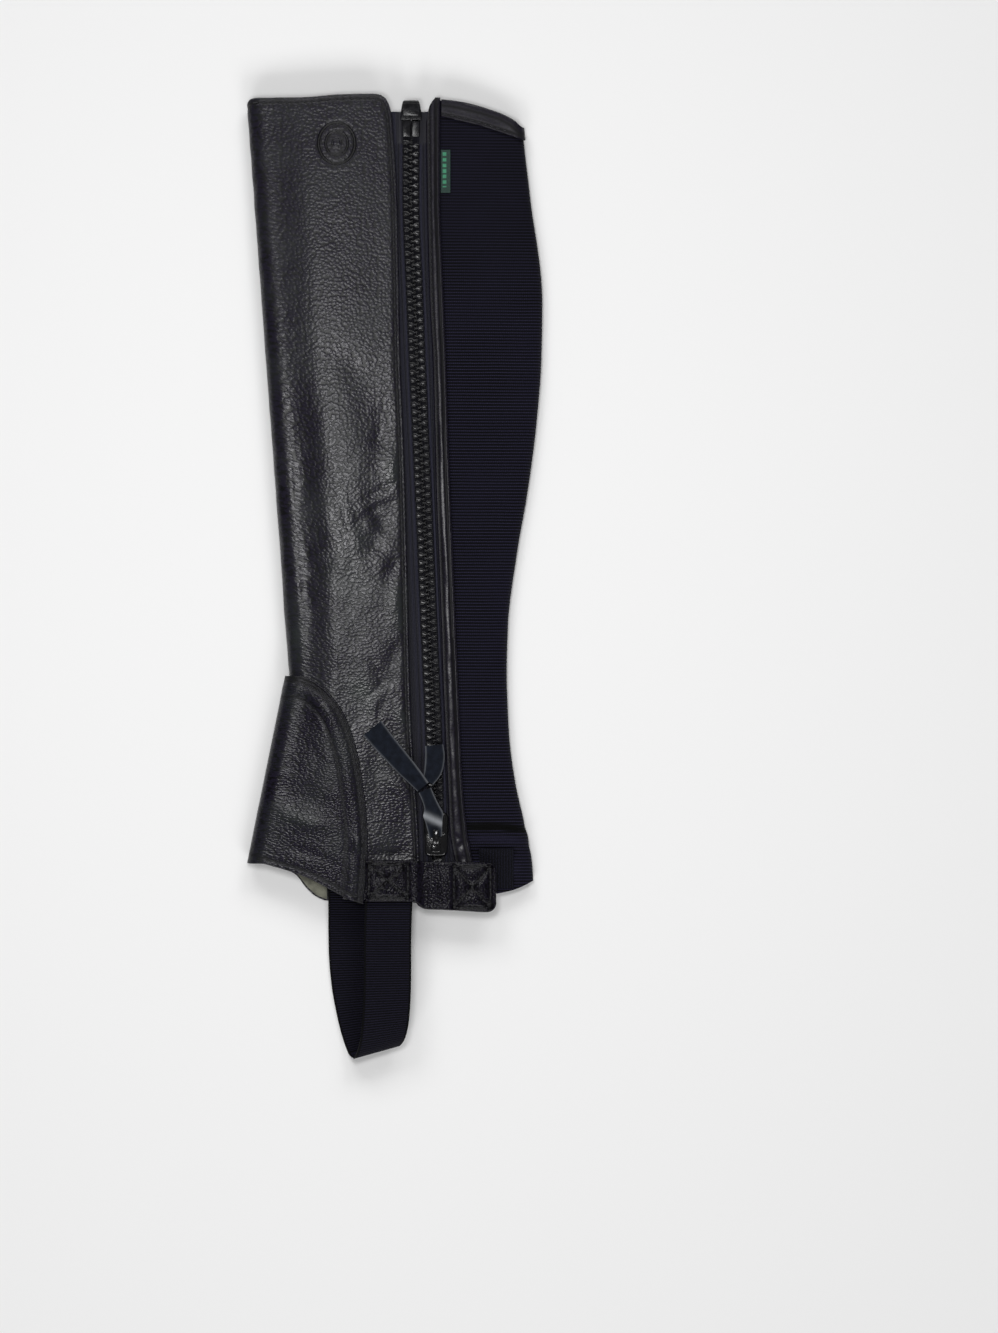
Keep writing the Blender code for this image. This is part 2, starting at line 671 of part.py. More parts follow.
def flat_grid(box, lift, columns=4, rows=4):
    """Grid of a small rectangle that lies a distance above the form."""
    x0, x1, y0, y1 = box
    return [
        [(x, y, height(x, y) + lift) for x in np.linspace(x1, x0, columns)]
        for y in np.linspace(y1, y0, rows)
    ]


def make_stirrup(finish):
    """Elastic webbing loop under the foot, its turn standing open."""
    grid = []
    for x, y, z, lean, dip in STIRRUP:
        across = Vector((STIRRUP_WIDE, lean, -dip)).normalized() * 0.5 * STIRRUP_WIDE
        grid.append([Vector((x, y, z)) + across * t for t in (1.0, 0.0, -1.0)])
    wall("stirrup_strap", grid, WEBBING, finish, side=0.0)


def make_tab(finish):
    """Leather closing tab with rounded free corners."""
    xs = column(TAB_COLUMNS, TAB, "x")
    bend = xs[-1] - TAB_CORNER
    rows = [(x, 0.0) for x in xs if x < bend]
    for angle in np.radians(np.linspace(0.0, 90.0, 6)):
        rows.append((bend + TAB_CORNER * math.sin(angle), TAB_CORNER * (1.0 - math.cos(angle))))
    lines = []
    for x, inset in rows[::-1]:
        under, upper, lower = (smooth(xs, column(TAB_COLUMNS, TAB, n), x) for n in TAB_COLUMNS[1:])
        down = np.linspace(upper - inset, lower + inset, 4)
        lines.append([(x, y, height(x, y) + under + LEATHER) for y in down])
    wall("closing_tab", [list(row) for row in zip(*lines)], LEATHER, finish)


def thong(name, rows, finish):
    """One stretch of the leather thong."""
    middle = [Vector((x, y)) for x, y, *_ in rows]
    grid = []
    for i, (x, y, above, wide, tilt) in enumerate(rows):
        along = (middle[min(i + 1, len(rows) - 1)] - middle[max(i - 1, 0)]).normalized()
        side = Vector((-along.y, along.x)) * 0.5 * wide
        base = height(x, y) + above
        grid.append([
            (x + side.x * t, y + side.y * t, base + 0.5 * tilt * t) for t in (1.0, 0.0, -1.0)
        ])
    return wall(name, grid, THONG_THICK, finish, side=1.0)


def make_all():
    leather = material("black_leather", (0.012, 0.012, 0.014), 0.42)
    soft = material("thong_leather", (0.030, 0.033, 0.040), 0.62)
    knit = material("ribbed_elastic", (0.008, 0.008, 0.013), 0.85)
    woven = material("woven_tape", (0.010, 0.010, 0.012), 0.8)
    plastic = material("moulded_plastic", (0.010, 0.010, 0.011), 0.25)
    lacquer = material("painted_slider", (0.012, 0.012, 0.013), 0.22, metallic=0.5)
    lining = material("pale_lining", (0.42, 0.40, 0.36), 0.9)
    green = material("green_label", (0.010, 0.070, 0.050), 0.8)
    make_shaft(leather)
    make_toe(leather)
    make_lining(lining)
    make_tapes(woven)
    make_chain(plastic)
    make_box(plastic)
    make_slider(lacquer)
    make_strip(leather)
    make_elastic(knit)
    make_binding(leather)
    wall("side_label", flat_grid(LABEL_BOX, GAP + LABEL), LABEL, green)
    make_stirrup(knit)
    make_tab(leather)
    wall("tab_hook_tape", flat_grid(HOOK_BOX, HOOK_LIFT), HOOK_THICK, woven)
    wall("tab_loop_patch", flat_grid(PATCH_BOX, GAP + LOOP_THICK), LOOP_THICK, woven)
    thong("thong_tail", THONG_TAIL, soft)
    thong("thong_end", THONG_END, soft)
    thong("thong_loop", THONG_LOOP, soft)


make_all()
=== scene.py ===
"""Looks of a black leather half chap with a ribbed elastic back, laid flat with its zip closed.

Every visible piece is built over its packed solid: fine leather, elastic and tape with their creases and
seams, the teeth of the zip, the slider and its thong, and the stitching. Sizes are in millimetres unless a
property says otherwise, and +Y points to the top of the chap.
"""

import math

import bpy
import numpy as np
from bpy.props import FloatProperty, FloatVectorProperty, PointerProperty
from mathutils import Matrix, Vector


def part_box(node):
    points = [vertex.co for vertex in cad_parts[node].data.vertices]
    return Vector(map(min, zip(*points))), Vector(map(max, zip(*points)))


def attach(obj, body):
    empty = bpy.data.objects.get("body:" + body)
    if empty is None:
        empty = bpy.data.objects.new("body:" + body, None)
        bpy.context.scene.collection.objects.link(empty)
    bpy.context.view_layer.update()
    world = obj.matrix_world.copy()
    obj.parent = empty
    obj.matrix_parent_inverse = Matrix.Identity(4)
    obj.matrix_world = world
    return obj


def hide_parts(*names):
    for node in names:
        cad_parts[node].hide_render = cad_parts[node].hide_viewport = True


bl_info = {
    "name": "Leather half chap",
    "version": (1, 0, 0),
    "blender": (4, 5, 0),
    "location": "View3D > Sidebar > Half Chap",
    "description": "Builds the leather, elastic, zip and stitching of a half chap round its packed frame",
    "category": "Add Mesh",
}

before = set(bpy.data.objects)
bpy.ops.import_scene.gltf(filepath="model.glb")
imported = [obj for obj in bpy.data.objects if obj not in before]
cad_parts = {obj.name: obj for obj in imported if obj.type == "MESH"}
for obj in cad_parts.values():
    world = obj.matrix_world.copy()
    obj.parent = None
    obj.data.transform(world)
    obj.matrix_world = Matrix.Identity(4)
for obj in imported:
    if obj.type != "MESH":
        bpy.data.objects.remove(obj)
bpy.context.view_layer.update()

MM = 0.001
BODY = "root"

# Cloths and gaps
LEATHER = 1.7
THIN_LEATHER = 1.2
ELASTIC = 1.5
WEBBING = 1.4
TAPE = 0.8
LABEL = 0.6
THONG_THICK = 1.4
HOOK_THICK = 1.1
LOOP_THICK = 1.2
GAP = 0.3
LAP = LEATHER + GAP  # how far a lapped leather piece lies above what it covers

# Folds of the flattened tube, as half widths seen from above
FRONT_FOLD = 9.0
BACK_FOLD = 5.0

# Laps and widths
TOE_LAP = 11.0
STRIP_RIDGE = 0.8
TAPE_UNDER = 6.0  # how far the front tape goes in under the shaft
ELASTIC_UNDER = 33.0  # from the back edge to the inner seam
STIRRUP_WIDE = 25.0

# Ends down the leg
STRIP_TOP = 253.4
STRIP_END = -170.0
TAPE_TOP = 246.0
TAPE_END = -171.0
FIRST_TOOTH = 229.7
CHAIN_END = -124.6
SHAFT_HEM_Y = -171.4
TOE_HEM_TURN = -152.3  # where the toe piece's hem goes round the front fold

# How far the rows of stitches lie in from the edges
SHAFT_SEWN = 2.5
TOE_SEWN = (1.5, 3.2, 11.6)
HEM_SEWN = 3.0
LEFT_STRIP_SEWN = 1.6
RIGHT_STRIP_SEWN = 2.3
LOW_BINDING_SEWN = 1.6
TOP_BINDING_SEWN = 3.4
INNER_SEAM_SEWN = 2.6
UNDER_TOE_SEWN = 2.4

# The form at a few stations down the leg. front, edge, zip, strip, strip_end and back are places across:
# the front fold, the shaft's edge beside the zip, the row of teeth, the strip's two edges and the back
# fold. The heights are those of the lowest layer's outer face.
STATION_COLUMNS = (
    "y", "front", "edge", "zip", "strip", "strip_end", "back", "front_h", "crown_h", "zip_h", "back_h",
)
STATIONS = np.array((
    (260, -79.4, -1.9, 8.8, 16.7, 24.4, 67.4, 10, 11, 9.4, 7.4),
    (246, -78.4, -1.3, 8.8, 16.7, 24.3, 67.6, 10, 11.4, 9.5, 7.5),
    (205, -75.3, 1.4, 8.7, 17.2, 24.2, 71.6, 10.6, 12.8, 10, 7.8),
    (145, -70.8, 2.7, 10.8, 18.6, 26.3, 78.5, 11.4, 14, 10.8, 8.2),
    (115, -68.6, 3.2, 12, 20.2, 27.5, 78, 11.6, 14.2, 11, 8.4),
    (80, -66, 4.7, 13.6, 21.1, 28.5, 75.3, 11.6, 14.4, 11, 8.4),
    (45, -63.3, 5.9, 15.2, 22, 29.7, 70.7, 11.4, 14.2, 10.8, 8.2),
    (10, -60.7, 6.8, 16.7, 23.2, 31.2, 64.7, 11.2, 14, 10.6, 8.2),
    (-25, -58.1, 7.6, 18.2, 24.6, 32.6, 60.3, 11, 13.8, 10.6, 8.2),
    (-51, -56.4, 8.2, 19.4, 25.4, 33.7, 59.6, 10.8, 13.6, 10.6, 8.2),
    (-80, -63.3, 9.2, 20.7, 26.6, 34.9, 60.6, 10.6, 13, 10.4, 8),
    (-110, -69.5, 11.2, 21.4, 28, 36.2, 64.2, 10.4, 12.4, 10, 7.8),
    (-135, -74.7, 12.8, 22, 29.2, 38.6, 69.8, 10.2, 11.8, 9.8, 7.6),
    (-152, -78.2, 13.4, 22.5, 32, 41.8, 73, 10, 11.4, 9.6, 7.4),
    (-178, -83.4, 13.6, 23, 37, 46.5, 74.6, 9.8, 11, 9.4, 7.2),
))[::-1]

# Front lines of the two leather pieces, as (y, x) at their two ends
SHAFT_FRONT = ((250, -78.42), (-51, -56))
TOE_FRONT = ((-54, -58.4), (-149.5, -77.8))

# Outlines seen from above, as (x, y), each smoothed through its points
TOE_SEAM = (
    (-60, -52.5), (-48.5, -53), (-36.3, -60.5), (-26.5, -73), (-19.6, -93),
    (-15.6, -117), (-13.9, -139), (-14.8, -158), (-16.4, -174),
)
TOE_HEM = ((-16.4, -174), (-24, -171.4), (-32.6, -166.7), (-48.5, -158.8), (-77.9, -150))
TOE_HEM_INNER = (
    (-16.4, -171.6), (-26, -172.2), (-36, -172.4), (-42.1, -170.1), (-46.9, -165.9),
    (-52.7, -158.6), (-64, -153.6), (-77.9, -150),
)
SHAFT_TOP = (
    (-78.9, 250.2), (-77.2, 252.4), (-73, 253.3), (-50, 253.4), (-29, 255), (-11, 255.4),
    (-7, 254.6), (-4.4, 252.6), (-2.6, 249), (-1.3, 244),
)
INNER_TOP = ((-78.9, 250.2), (-40, 246.6), (0, 243), (67.6, 238))
BINDING_TOP = ((20, 252.9), (32.1, 251.8), (51.7, 247), (62, 242.6), (67.6, 238))
BINDING_LOW = ((20, 244.4), (25.2, 243.3), (44.8, 238.8), (67.6, 231.6))
BINDING_LOW_INNER = ((20, 233.8), (44, 231.8), (67.6, 231.6))
HEM_OUTER = ((20, -170.4), (42, -170), (54, -168.5), (63.5, -166.4), (74, -161.6))
HEM_INNER = ((-17, -171), (10, -169.2), (50, -165.4), (74, -161.6))
LINING_OUTLINE = (
    (-66.5, -149), (-50, -146), (-36, -146), (-36, -171.8), (-41.7, -169.5),
    (-46.3, -165.2), (-51.9, -158), (-60, -154.2),
)

# Centre line of the stirrup loop. lean is how much higher up the chap its right edge lies than its left,
# dip how much lower.
STIRRUP = np.array((
    (-1, -152.5, 13.9, 0, 0.7), (-1.4, -162, 13.8, 0, 0.65), (-2.9, -173.5, 13.75, 0, 0.6),
    (-3.5, -190, 15.2, 0, 0.3), (-3.5, -208, 17.2, 0.3, 0), (-3.8, -224, 18.2, 1, 0),
    (-4.6, -236, 17.6, 2.6, 0.8), (-6.2, -245.5, 14.8, 4.6, 2), (-8.8, -251.4, 10.2, 6.6, 3),
    (-11.4, -251.6, 6, 6.6, 2.6), (-13.8, -247.6, 2.7, 5.4, 1.2), (-16.4, -240, 1.1, 4, 0.2),
    (-18.8, -230, 0.75, 2.6, 0), (-21, -218, 0.75, 1.4, 0), (-22.4, -204, 0.75, 0.4, 0),
    (-22.8, -190, 0.9, 0, 0), (-22.8, -179, 1.9, 0, 0), (-22.8, -170, 2.8, 0, 0),
    (-22.8, -152, 2.8, 0, 0),
))

# Lie of the closing tab: x, how far its under side is above the lowest layer, and its two long edges
TAB = np.array((
    (-15.2, 4.5, -150.4, -172.6), (-8, 4.3, -150.4, -172.6), (0, 4.2, -150.4, -172.5),
    (8, 4.3, -150.4, -172.5), (12, 4.3, -150.6, -173.2), (14.2, 3.1, -151, -175.2),
    (16.4, 2.6, -151.2, -176.4), (18.8, 3.2, -151.2, -176.6), (23, 4.2, -151.2, -176.7),
    (30, 4.5, -151.2, -177), (40, 4.5, -151.3, -177.6), (48, 4.5, -151.6, -178),
    (54, 4.5, -152, -178),
))
TAB_CORNER = 5
# Squares of stitches on the tab, one at each end: low x, high x, low y, high y
TAB_SQUARES = ((31.6, 50.8, -175.6, -153.8), (-13.4, 7.2, -170.2, -152.6))
# Hook tape under the tab and the patch that it closes on, and the side label, as boxes like those
HOOK_BOX = (33, 51, -174.6, -154.4)
HOOK_LIFT = 4.2
PATCH_BOX = (45, 63.2, -165.6, -144.6)
LABEL_BOX = (24.6, 29.6, 203, 225.8)

NARROWEST_CUT = 0.0106  # least width in metres of the strip that the thong is cut from
# Thong tied on the slider: x, y, height of its under side above the lowest layer, width and tilt across
THONG_TAIL = (
    (-11.6, -80.6, 2.5, 12.4, 0), (-5.6, -88, 2.6, 11.6, 0), (0.4, -95, 3.1, 10.8, 0.8),
    (6, -101.4, 3.9, 10, 1.6), (11, -107, 5.2, 8.6, 2.2), (15, -111.8, 6.3, 7.4, 2.4),
)
THONG_END = (
    (21.2, -89.6, 3.4, 9.6, -1.5), (21.6, -96, 3.7, 10.2, -1.5), (20.6, -103, 4.2, 9.4, -1),
    (17.9, -109, 4.8, 6.4, 0),
)
THONG_LOOP = (
    (16.2, -113.4, 6.4, 7.2, 0), (18, -117.6, 7, 7, 0.4), (19.8, -122.4, 7.4, 8, 1),
    (20.6, -126.4, 6.8, 10.6, 1.2), (21, -130.4, 5.2, 9, 0.6), (21.9, -138.2, 4.8, 6.6, 0),
)

# Creases and swellings of the shaft's outer side: depth (below zero is a trough), half width, line
SHAFT_CREASES = (
    (0.6, 4.6, (-57, 66), (-56.2, 48), (-55, 26)),
    (0.7, 4, (-54.6, 20), (-52.8, 0), (-50.4, -20), (-49, -48)),
    (-0.5, 7, (-46, 66), (-47, 50), (-44.6, 34)),
    (-0.7, 8, (-46.6, 30), (-43, 10), (-44, -8), (-39, -34)),
    (0.6, 13, (-26, 80), (-24, 50), (-21, 8), (-19, -36), (-15, -66)),
    (-0.6, 5.4, (-5, 92), (-6.4, 78), (-11, 66)),
    (0.55, 4.6, (0.4, 68), (-0.8, 54), (1.2, 44)),
    (-0.95, 6.4, (-6.6, 44), (-6.8, 32), (-9.4, 20), (-10.6, 8)),
    (-0.75, 4.4, (3.6, 12), (-2, 2), (-6, -7)),
    (0.6, 4.4, (3.4, 0), (0.6, -12), (1.6, -28)),
    (-0.5, 4.6, (4, -34), (0, -41), (-5, -50)),
    (-0.36, 1.7, (-8.4, -43.5), (-12.2, -46.3), (-7.5, -53), (-6.5, -56.8), (-11.3, -61.6),
     (-15, -65.4)),
    (-0.34, 1.6, (-3.7, -64.4), (-7.5, -70.2), (-8.4, -78.8)),
    (-0.5, 6, (-6, -48), (-5, -60)),
    (-0.26, 2, (3.4, 50.4), (-8, 45), (-18.5, 39.2)),
    (-0.24, 1.9, (2.6, 40), (-10, 35.5), (-22, 26)),
    (0.26, 2.2, (3, 45.6), (-8, 40.5), (-19, 34)),
    (-0.22, 2, (-30, 30), (-24, 20), (-16, 12)),
    (-0.18, 1.5, (-12, 226.5), (-2, 228)),
    (-0.18, 1.5, (-12.4, 222.4), (-2.2, 222)),
    (-0.2, 5, (-31.4, 192), (-30.2, 172)),
    (-0.2, 9, (-10, 186), (-14, 150)),
    (0.25, 10, (-52, 170), (-56, 130), (-54, 90)),
    (-0.3, 8, (-34, 128), (-22, 108), (-8, 104)),
    (-0.6, 3, (-14, -146.6), (-4, -147.4), (8, -147)),
    (0.5, 5, (-6, -104), (4, -114), (8.6, -123)),
    (-0.5, 6.5, (-13, -88), (-9.6, -112), (-10.4, -136)),
    (-0.45, 7.5, (-33, -44), (-24, -60), (-15, -82)),
    (0.5, 4.4, (5, -64), (4, -76), (7.4, -90)),
)
# The same for the inner side, which lies on the ground, as soft hollows only
INNER_CREASES = (
    (0.45, 4, (30, 120), (10, 96), (-14, 88)),
    (0.4, 3, (22, 10), (4, 4), (-20, 12)),
    (0.42, 3.4, (24, -42), (2, -36), (-22, -46)),
    (0.35, 2.6, (18, -70), (-4, -76)),
    (0.3, 5, (-40, 160), (-36, 120), (-42, 90)),
    (0.35, 3, (26, -112), (6, -106), (-8, -114)),
)
TOE_CREASES = (
    (0.55, 4.5, (-64, -124), (-48, -130), (-30, -134.5)),
    (-0.4, 5, (-62, -112), (-46, -118), (-30, -122)),
    (0.45, 2.6, (-25.4, -79), (-21.4, -92), (-19, -104)),
    (0.6, 2.4, (-19, -137), (-18.8, -147)),
    (-0.35, 3, (-23.6, -112), (-22.4, -132), (-22.8, -150)),
    (0.35, 4, (-50, -60), (-42, -66), (-36, -76)),
    (-0.3, 4, (-44, -86), (-40, -98), (-42, -108)),
    (-0.3, 2.2, (-60, -142), (-44, -147), (-30, -153)),
)
ELASTIC_CREASES = (
    (-1.7, 2.8, (30, -133.2), (46, -132.8), (60, -133.6), (84, -137.6)),
    (1.4, 2.8, (30, -139.6), (52, -139), (84, -141)),
    (-1.1, 1.6, (28, -147.2), (44, -145.8), (60, -146.4), (84, -144)),
    (0.8, 7, (36, -157), (56, -156), (76, -151)),
    (0.45, 8, (46, 150), (50, 90), (46, 30)),
    (-0.3, 7, (62, 190), (66, 140), (64, 90)),
    (-0.3, 6, (44, -20), (46, -70), (50, -110)),
)
STRIP_CREASES = (
    (0.4, 1.8, (24.6, 82), (25.4, 70), (26.4, 58)),
    (0.42, 2.2, (27.2, 24), (28.4, 6), (29.8, -12)),
    (-0.3, 2.4, (24.6, 54), (26, 40), (26.6, 28)),
    (0.25, 2, (29.4, -26), (30.4, -46)),
    (0.25, 2, (21.4, 150), (21.8, 120), (23, 100)),
    (-0.3, 2.5, (31, -70), (32, -95)),
    (-0.4, 1, (31, -137), (38, -141.5)),
    (-0.4, 1, (31.4, -146), (39.6, -139)),
    (-0.3, 0.9, (32, -151), (40, -149)),
)
TAB_CREASES = (
    (1.9, 1.5, (-13.6, -169.4), (-3, -160.6), (7, -152)),
    (1.2, 1.4, (-12, -152.4), (-2, -151.8), (7, -152.2)),
    (-0.4, 3, (-8, -156), (-3, -163)),
    (-0.45, 3.2, (4, -158), (3, -167)),
    (0.5, 3.4, (18.6, -153), (18, -165), (18.8, -175)),
    (0.4, 2.6, (35, -160), (37, -170)),
    (0.4, 2.6, (44, -158), (46, -171)),
    (0.35, 2, (40, -157), (43, -156.4)),
    (-0.3, 1.8, (22, -152), (21, -164), (22.6, -176)),
    (0.25, 2, (27, -154), (26, -166), (27.2, -175)),
)
# Places where a grey sheen is painted on the leather, which is also made a little glossier there: strength,
# half width, line
PAINTED_SHEEN_LINES = (
    (0.9, 5, (-0.6, 66), (-0.6, 46)),
    (0.8, 4, (1, -4), (2.6, -32)),
    (0.8, 5.5, (-20, -52), (-17, -66)),
    (0.6, 3.5, (-13, -60), (-12.6, -77)),
    (0.7, 3.4, (3, -70), (6.6, -79)),
    (0.6, 3, (-53, -16), (-50, -46)),
    (0.4, 12, (-24, 60), (-22, -20)),
    (0.5, 3.4, (-25.6, -79), (-21.6, -96)),
    (0.6, 2.6, (-19.2, -138), (-18.8, -148)),
    (0.5, 4, (-62, -124), (-40, -133)),
)

# Plain pressed medallion near the top: its middle, how much it is squashed along the leg, the radius of
# the raised rim round it, and its pressed rings from the outside in, as radius, half width where it is
# fully pressed, half width where the leather is level again, and strength
MEDALLION = (-30.5, 229.0)
MEDALLION_SQUASH = 0.88
MEDALLION_RIM = 11.4
MEDALLION_RINGS = ((9.6, 0.25, 0.95, 1.0), (5.8, 0.2, 0.8, 0.8), (2.2, 0.2, 0.8, 0.6))

# Grids: distances in from an edge where the rows or columns are dense, and angles round the two folds
EDGE_COLUMNS = np.array((0.0, 0.1, 0.25, 0.5, 0.8, 1.2, 1.7, 2.1, 2.5, 2.9, 3.4, 4.2, 5.2, 6.4))
UNDER_EDGE = np.array((0.0, 0.3, 0.8, 1.5, 2.4, 3.4, 4.6, 6.4))
TOP_ROWS = (0.0, 0.15, 0.4, 0.8, 1.3, 1.9, 2.5, 3.1, 3.9, 5.0)
SHAFT_HEM_ROWS = (0.0, 0.3, 0.8, 1.6, 3.0, 4.5)
TOE_HEM_ROWS = np.array((0.0, 0.3, 0.8, 1.4, 2.0, 2.6, 3.2, 3.8))
FOLD_ANGLES = np.linspace(0.5 * math.pi, -0.5 * math.pi, 20)[1:-1]
BACK_ANGLES = np.linspace(0.5 * math.pi, -0.5 * math.pi, 14)[1:-1]

# A stitch as rings along it: share of its length, height above the cloth and thickness, in threads
STITCH_RINGS = (
    (-0.5, -0.75, 0.55), (-0.38, -0.12, 0.9), (-0.16, 0.16, 1.0),
    (0.16, 0.16, 1.0), (0.38, -0.12, 0.9), (0.5, -0.75, 0.55),
)
STITCH_SIDES = 6
STITCH_STEP = 0.7  # from point to point of a line that is stitched

# Half of a tooth's plan outline, from the back of its body to the tip of its head: x towards the other
# tape, y along the zip. The rings are heights above the tape, with how far the outline is drawn in.
TOOTH = (
    (-4.5, 0.0), (-4.45, 0.85), (-4.1, 1.42), (-3.2, 1.62), (-2.2, 1.55), (-1.5, 1.15), (-1.0, 0.66),
    (-0.55, 0.50), (-0.15, 0.66), (0.4, 0.84), (0.95, 0.66), (1.20, 0.0),
)
TOOTH_RINGS = ((0.0, 0.12), (0.3, 0.0), (1.10, 0.0), (1.50, 0.10), (1.76, 0.26), (1.9, 0.46))

# Stage, in metres
CAMERA = (0.0554, -0.0480, 2.61)
VIEW_LONG = 0.7065  # length of floor from the top to the bottom of the picture
MIDDLE_HEIGHT = 0.010  # height of the chap's upper side, where that length is measured
SENSOR = 36.0  # width of the camera's sensor in millimetres
SOFTBOX = (-0.055, 0.066, 0.95)
SOFTBOX_SIZE = (0.24, 0.18)
SIDE_LIGHTS = ((-1.0, 2.7, 2.0), (1.0, 2.7, 2.0), (-1.0, -2.7, 2.0), (1.0, -2.7, 2.0))
SIDE_LIGHT_SIZE = (1.6, 1.2)
FLOOR_HALF = 4.0
FLOOR_Z = -0.0002

BLACK = (0.0, 0.0, 0.0)


# Numbers


def eased(xs, ys, at, flat_ends=False):
    """Smooth curve through knots on the last axis that never swings past them, held past its ends."""
    xs, ys, at = np.asarray(xs, float), np.asarray(ys, float), np.asarray(at, float)
    step = np.diff(xs, axis=-1)
    rise = np.diff(ys, axis=-1) / step
    after, before = step[..., 1:] + 2 * step[..., :-1], 2 * step[..., 1:] + step[..., :-1]
    left, right = rise[..., :-1], rise[..., 1:]
    turning = left * right <= 0
    safe_left, safe_right = np.where(turning, 1.0, left), np.where(turning, 1.0, right)
    inner = np.where(turning, 0.0, (before + after) / (before / safe_left + after / safe_right))
    ends = (rise[..., :1] * 0, rise[..., -1:] * 0) if flat_ends else (rise[..., :1], rise[..., -1:])
    slope = np.concatenate([ends[0], inner, ends[1]], axis=-1)
    at = np.clip(at, xs[..., 0], xs[..., -1])
    i = (at[..., None] >= xs[..., 1:-1]).sum(-1)[..., None]

    def take(values, shift=0):
        spread = np.broadcast_to(values, at.shape + values.shape[-1:])
        return np.take_along_axis(spread, i + shift, -1)[..., 0]

    wide = take(step)
    t = (at - take(xs)) / wide
    return (
        take(ys) * (1 + 2 * t) * (1 - t) ** 2 + take(ys, 1) * t * t * (3 - 2 * t)
        + wide * (take(slope) * t * (1 - t) ** 2 + take(slope, 1) * t * t * (t - 1))
    )


def station(name, y):
    return eased(STATIONS[:, 0], STATIONS[:, STATION_COLUMNS.index(name)], y)


def line_down(name, down, shift=0.0):
    """Plan line down the leg at one of the stations' places, or shifted sideways from it."""
    return np.column_stack([station(name, down) + shift, down])


def straight(ends, y):
    (y0, x0), (y1, x1) = ends
    return x0 + (x1 - x0) * (y - y0) / (y1 - y0)


def height(x, y):
    """Height of the lowest layer's outer face above the ground."""
    x, y = np.broadcast_arrays(np.asarray(x, float), np.asarray(y, float))
    front, edge, zip_x, strip, strip_end, back = (station(n, y) for n in STATION_COLUMNS[1:7])
    front_h, crown_h, zip_h, back_h = (station(n, y) for n in STATION_COLUMNS[7:])
    places = np.stack([
        front + FRONT_FOLD, front + 0.42 * (edge - front), edge, zip_x,
        0.5 * (strip + strip_end), 0.5 * (strip_end + back), back - BACK_FOLD,
    ], -1)
    heights = np.stack([
        front_h, crown_h, zip_h + 0.7, zip_h, zip_h + 0.3, 0.5 * (zip_h + back_h), back_h,
    ], -1)
    return eased(places, heights, x, flat_ends=True)


def across_y(outline, x):
    """y of an outline that runs across the leg, at a place across."""
    ordered = np.array(sorted(outline))
    return eased(ordered[:, 0], ordered[:, 1], x)


def flowing(points, step):
    """Points every step along a smooth curve through a few points of any dimension."""
    p = np.asarray(points, float)
    p = np.vstack([2 * p[0] - p[1], p, 2 * p[-1] - p[-2]])
    t = np.linspace(0, 1, 12, endpoint=False)[:, None]
    found = []
    for a, b, c, d in zip(p, p[1:], p[2:], p[3:]):
        found.append(0.5 * (2 * b + (c - a) * t + (2 * a - 5 * b + 4 * c - d) * t ** 2
                            + (3 * b - a - 3 * c + d) * t ** 3))
    fine = np.vstack([*found, p[-2:-1]])
    return spaced(fine, step)


def run_along(line):
    """Length of a line up to each of its points."""
    return np.concatenate([[0], np.cumsum(np.linalg.norm(np.diff(line, axis=0), axis=1))])


def spaced(line, step):
    """A line of points again, at even steps of its length."""
    away = run_along(line[:, :3])
    at = np.linspace(0, away[-1], max(2, round(away[-1] / step) + 1))
    return np.stack([np.interp(at, away, column) for column in line.T], 1)


def shifted(line, distance):
    """A plan line moved sideways, to the left of its direction when distance is positive."""
    along = np.gradient(line, axis=0)
    along /= np.linalg.norm(along, axis=1)[:, None]
    return line + distance * np.stack([-along[:, 1], along[:, 0]], 1)


def distance_to(x, y, line):
    """Distance of each place from a plan line, and how far along the line the nearest point is, 0 to 1."""
    best, where = np.full(x.shape, 1e9), np.zeros(x.shape)
    for i, ((x0, y0), (x1, y1)) in enumerate(zip(line, line[1:])):
        long = (x1 - x0) ** 2 + (y1 - y0) ** 2
        t = clamped(((x - x0) * (x1 - x0) + (y - y0) * (y1 - y0)) / long)
        away = np.hypot(x - x0 - t * (x1 - x0), y - y0 - t * (y1 - y0))
        nearer = away < best
        best, where = np.where(nearer, away, best), np.where(nearer, (i + t) / (len(line) - 1), where)
    return best, where


def inside(x, y, ring):
    """Whether each place lies inside a closed plan outline."""
    found = np.zeros(x.shape, bool)
    for (x0, y0), (x1, y1) in zip(ring, np.roll(ring, -1, axis=0)):
        crosses = (y0 > y) != (y1 > y)
        safe = np.where(crosses, (y1 - y0) or 1.0, 1.0)
        found ^= crosses & (x < x0 + (x1 - x0) * (y - y0) / safe)
    return found


def swell(x, y, size, seed):
    """Soft unevenness, mostly from -1 to 1, about size from one rise to the next."""
    rng = np.random.default_rng(seed)
    total = 0.0
    for _ in range(8):
        turn, phase = rng.uniform(0, 2 * math.pi, 2)
        long = size * rng.uniform(0.7, 1.5)
        total = total + np.sin((x * math.cos(turn) + y * math.sin(turn)) * 2 * math.pi / long + phase)
    return total / 3.2


def clamped(x):
    """A share, held between 0 and 1."""
    return np.clip(x, 0, 1)


def bump(x):
    """1 at zero, falling smoothly to nothing by about 2."""
    return np.exp(-x * x)


def creased(x, y, table, seed):
    """Sum of the listed creases and swellings of a piece."""
    total = np.zeros(x.shape)
    for i, (depth, half, *points) in enumerate(table):
        away, along = distance_to(x, y, flowing(points, 3.0))
        ends = np.sin(math.pi * np.clip(along, 0.02, 0.98)) ** 0.7
        uneven = 1 + 0.25 * swell(x, y, 14.0, seed + i)
        total += depth * uneven * ends * bump(away / half)
    return total


def graded(length, base, near):
    """Places from 0 to length: given ones near the start, then base apart."""
    found = list(near)
    while found[-1] + 1.4 * base <= length:
        found.append(found[-1] + base)
    return np.array([*found, length])


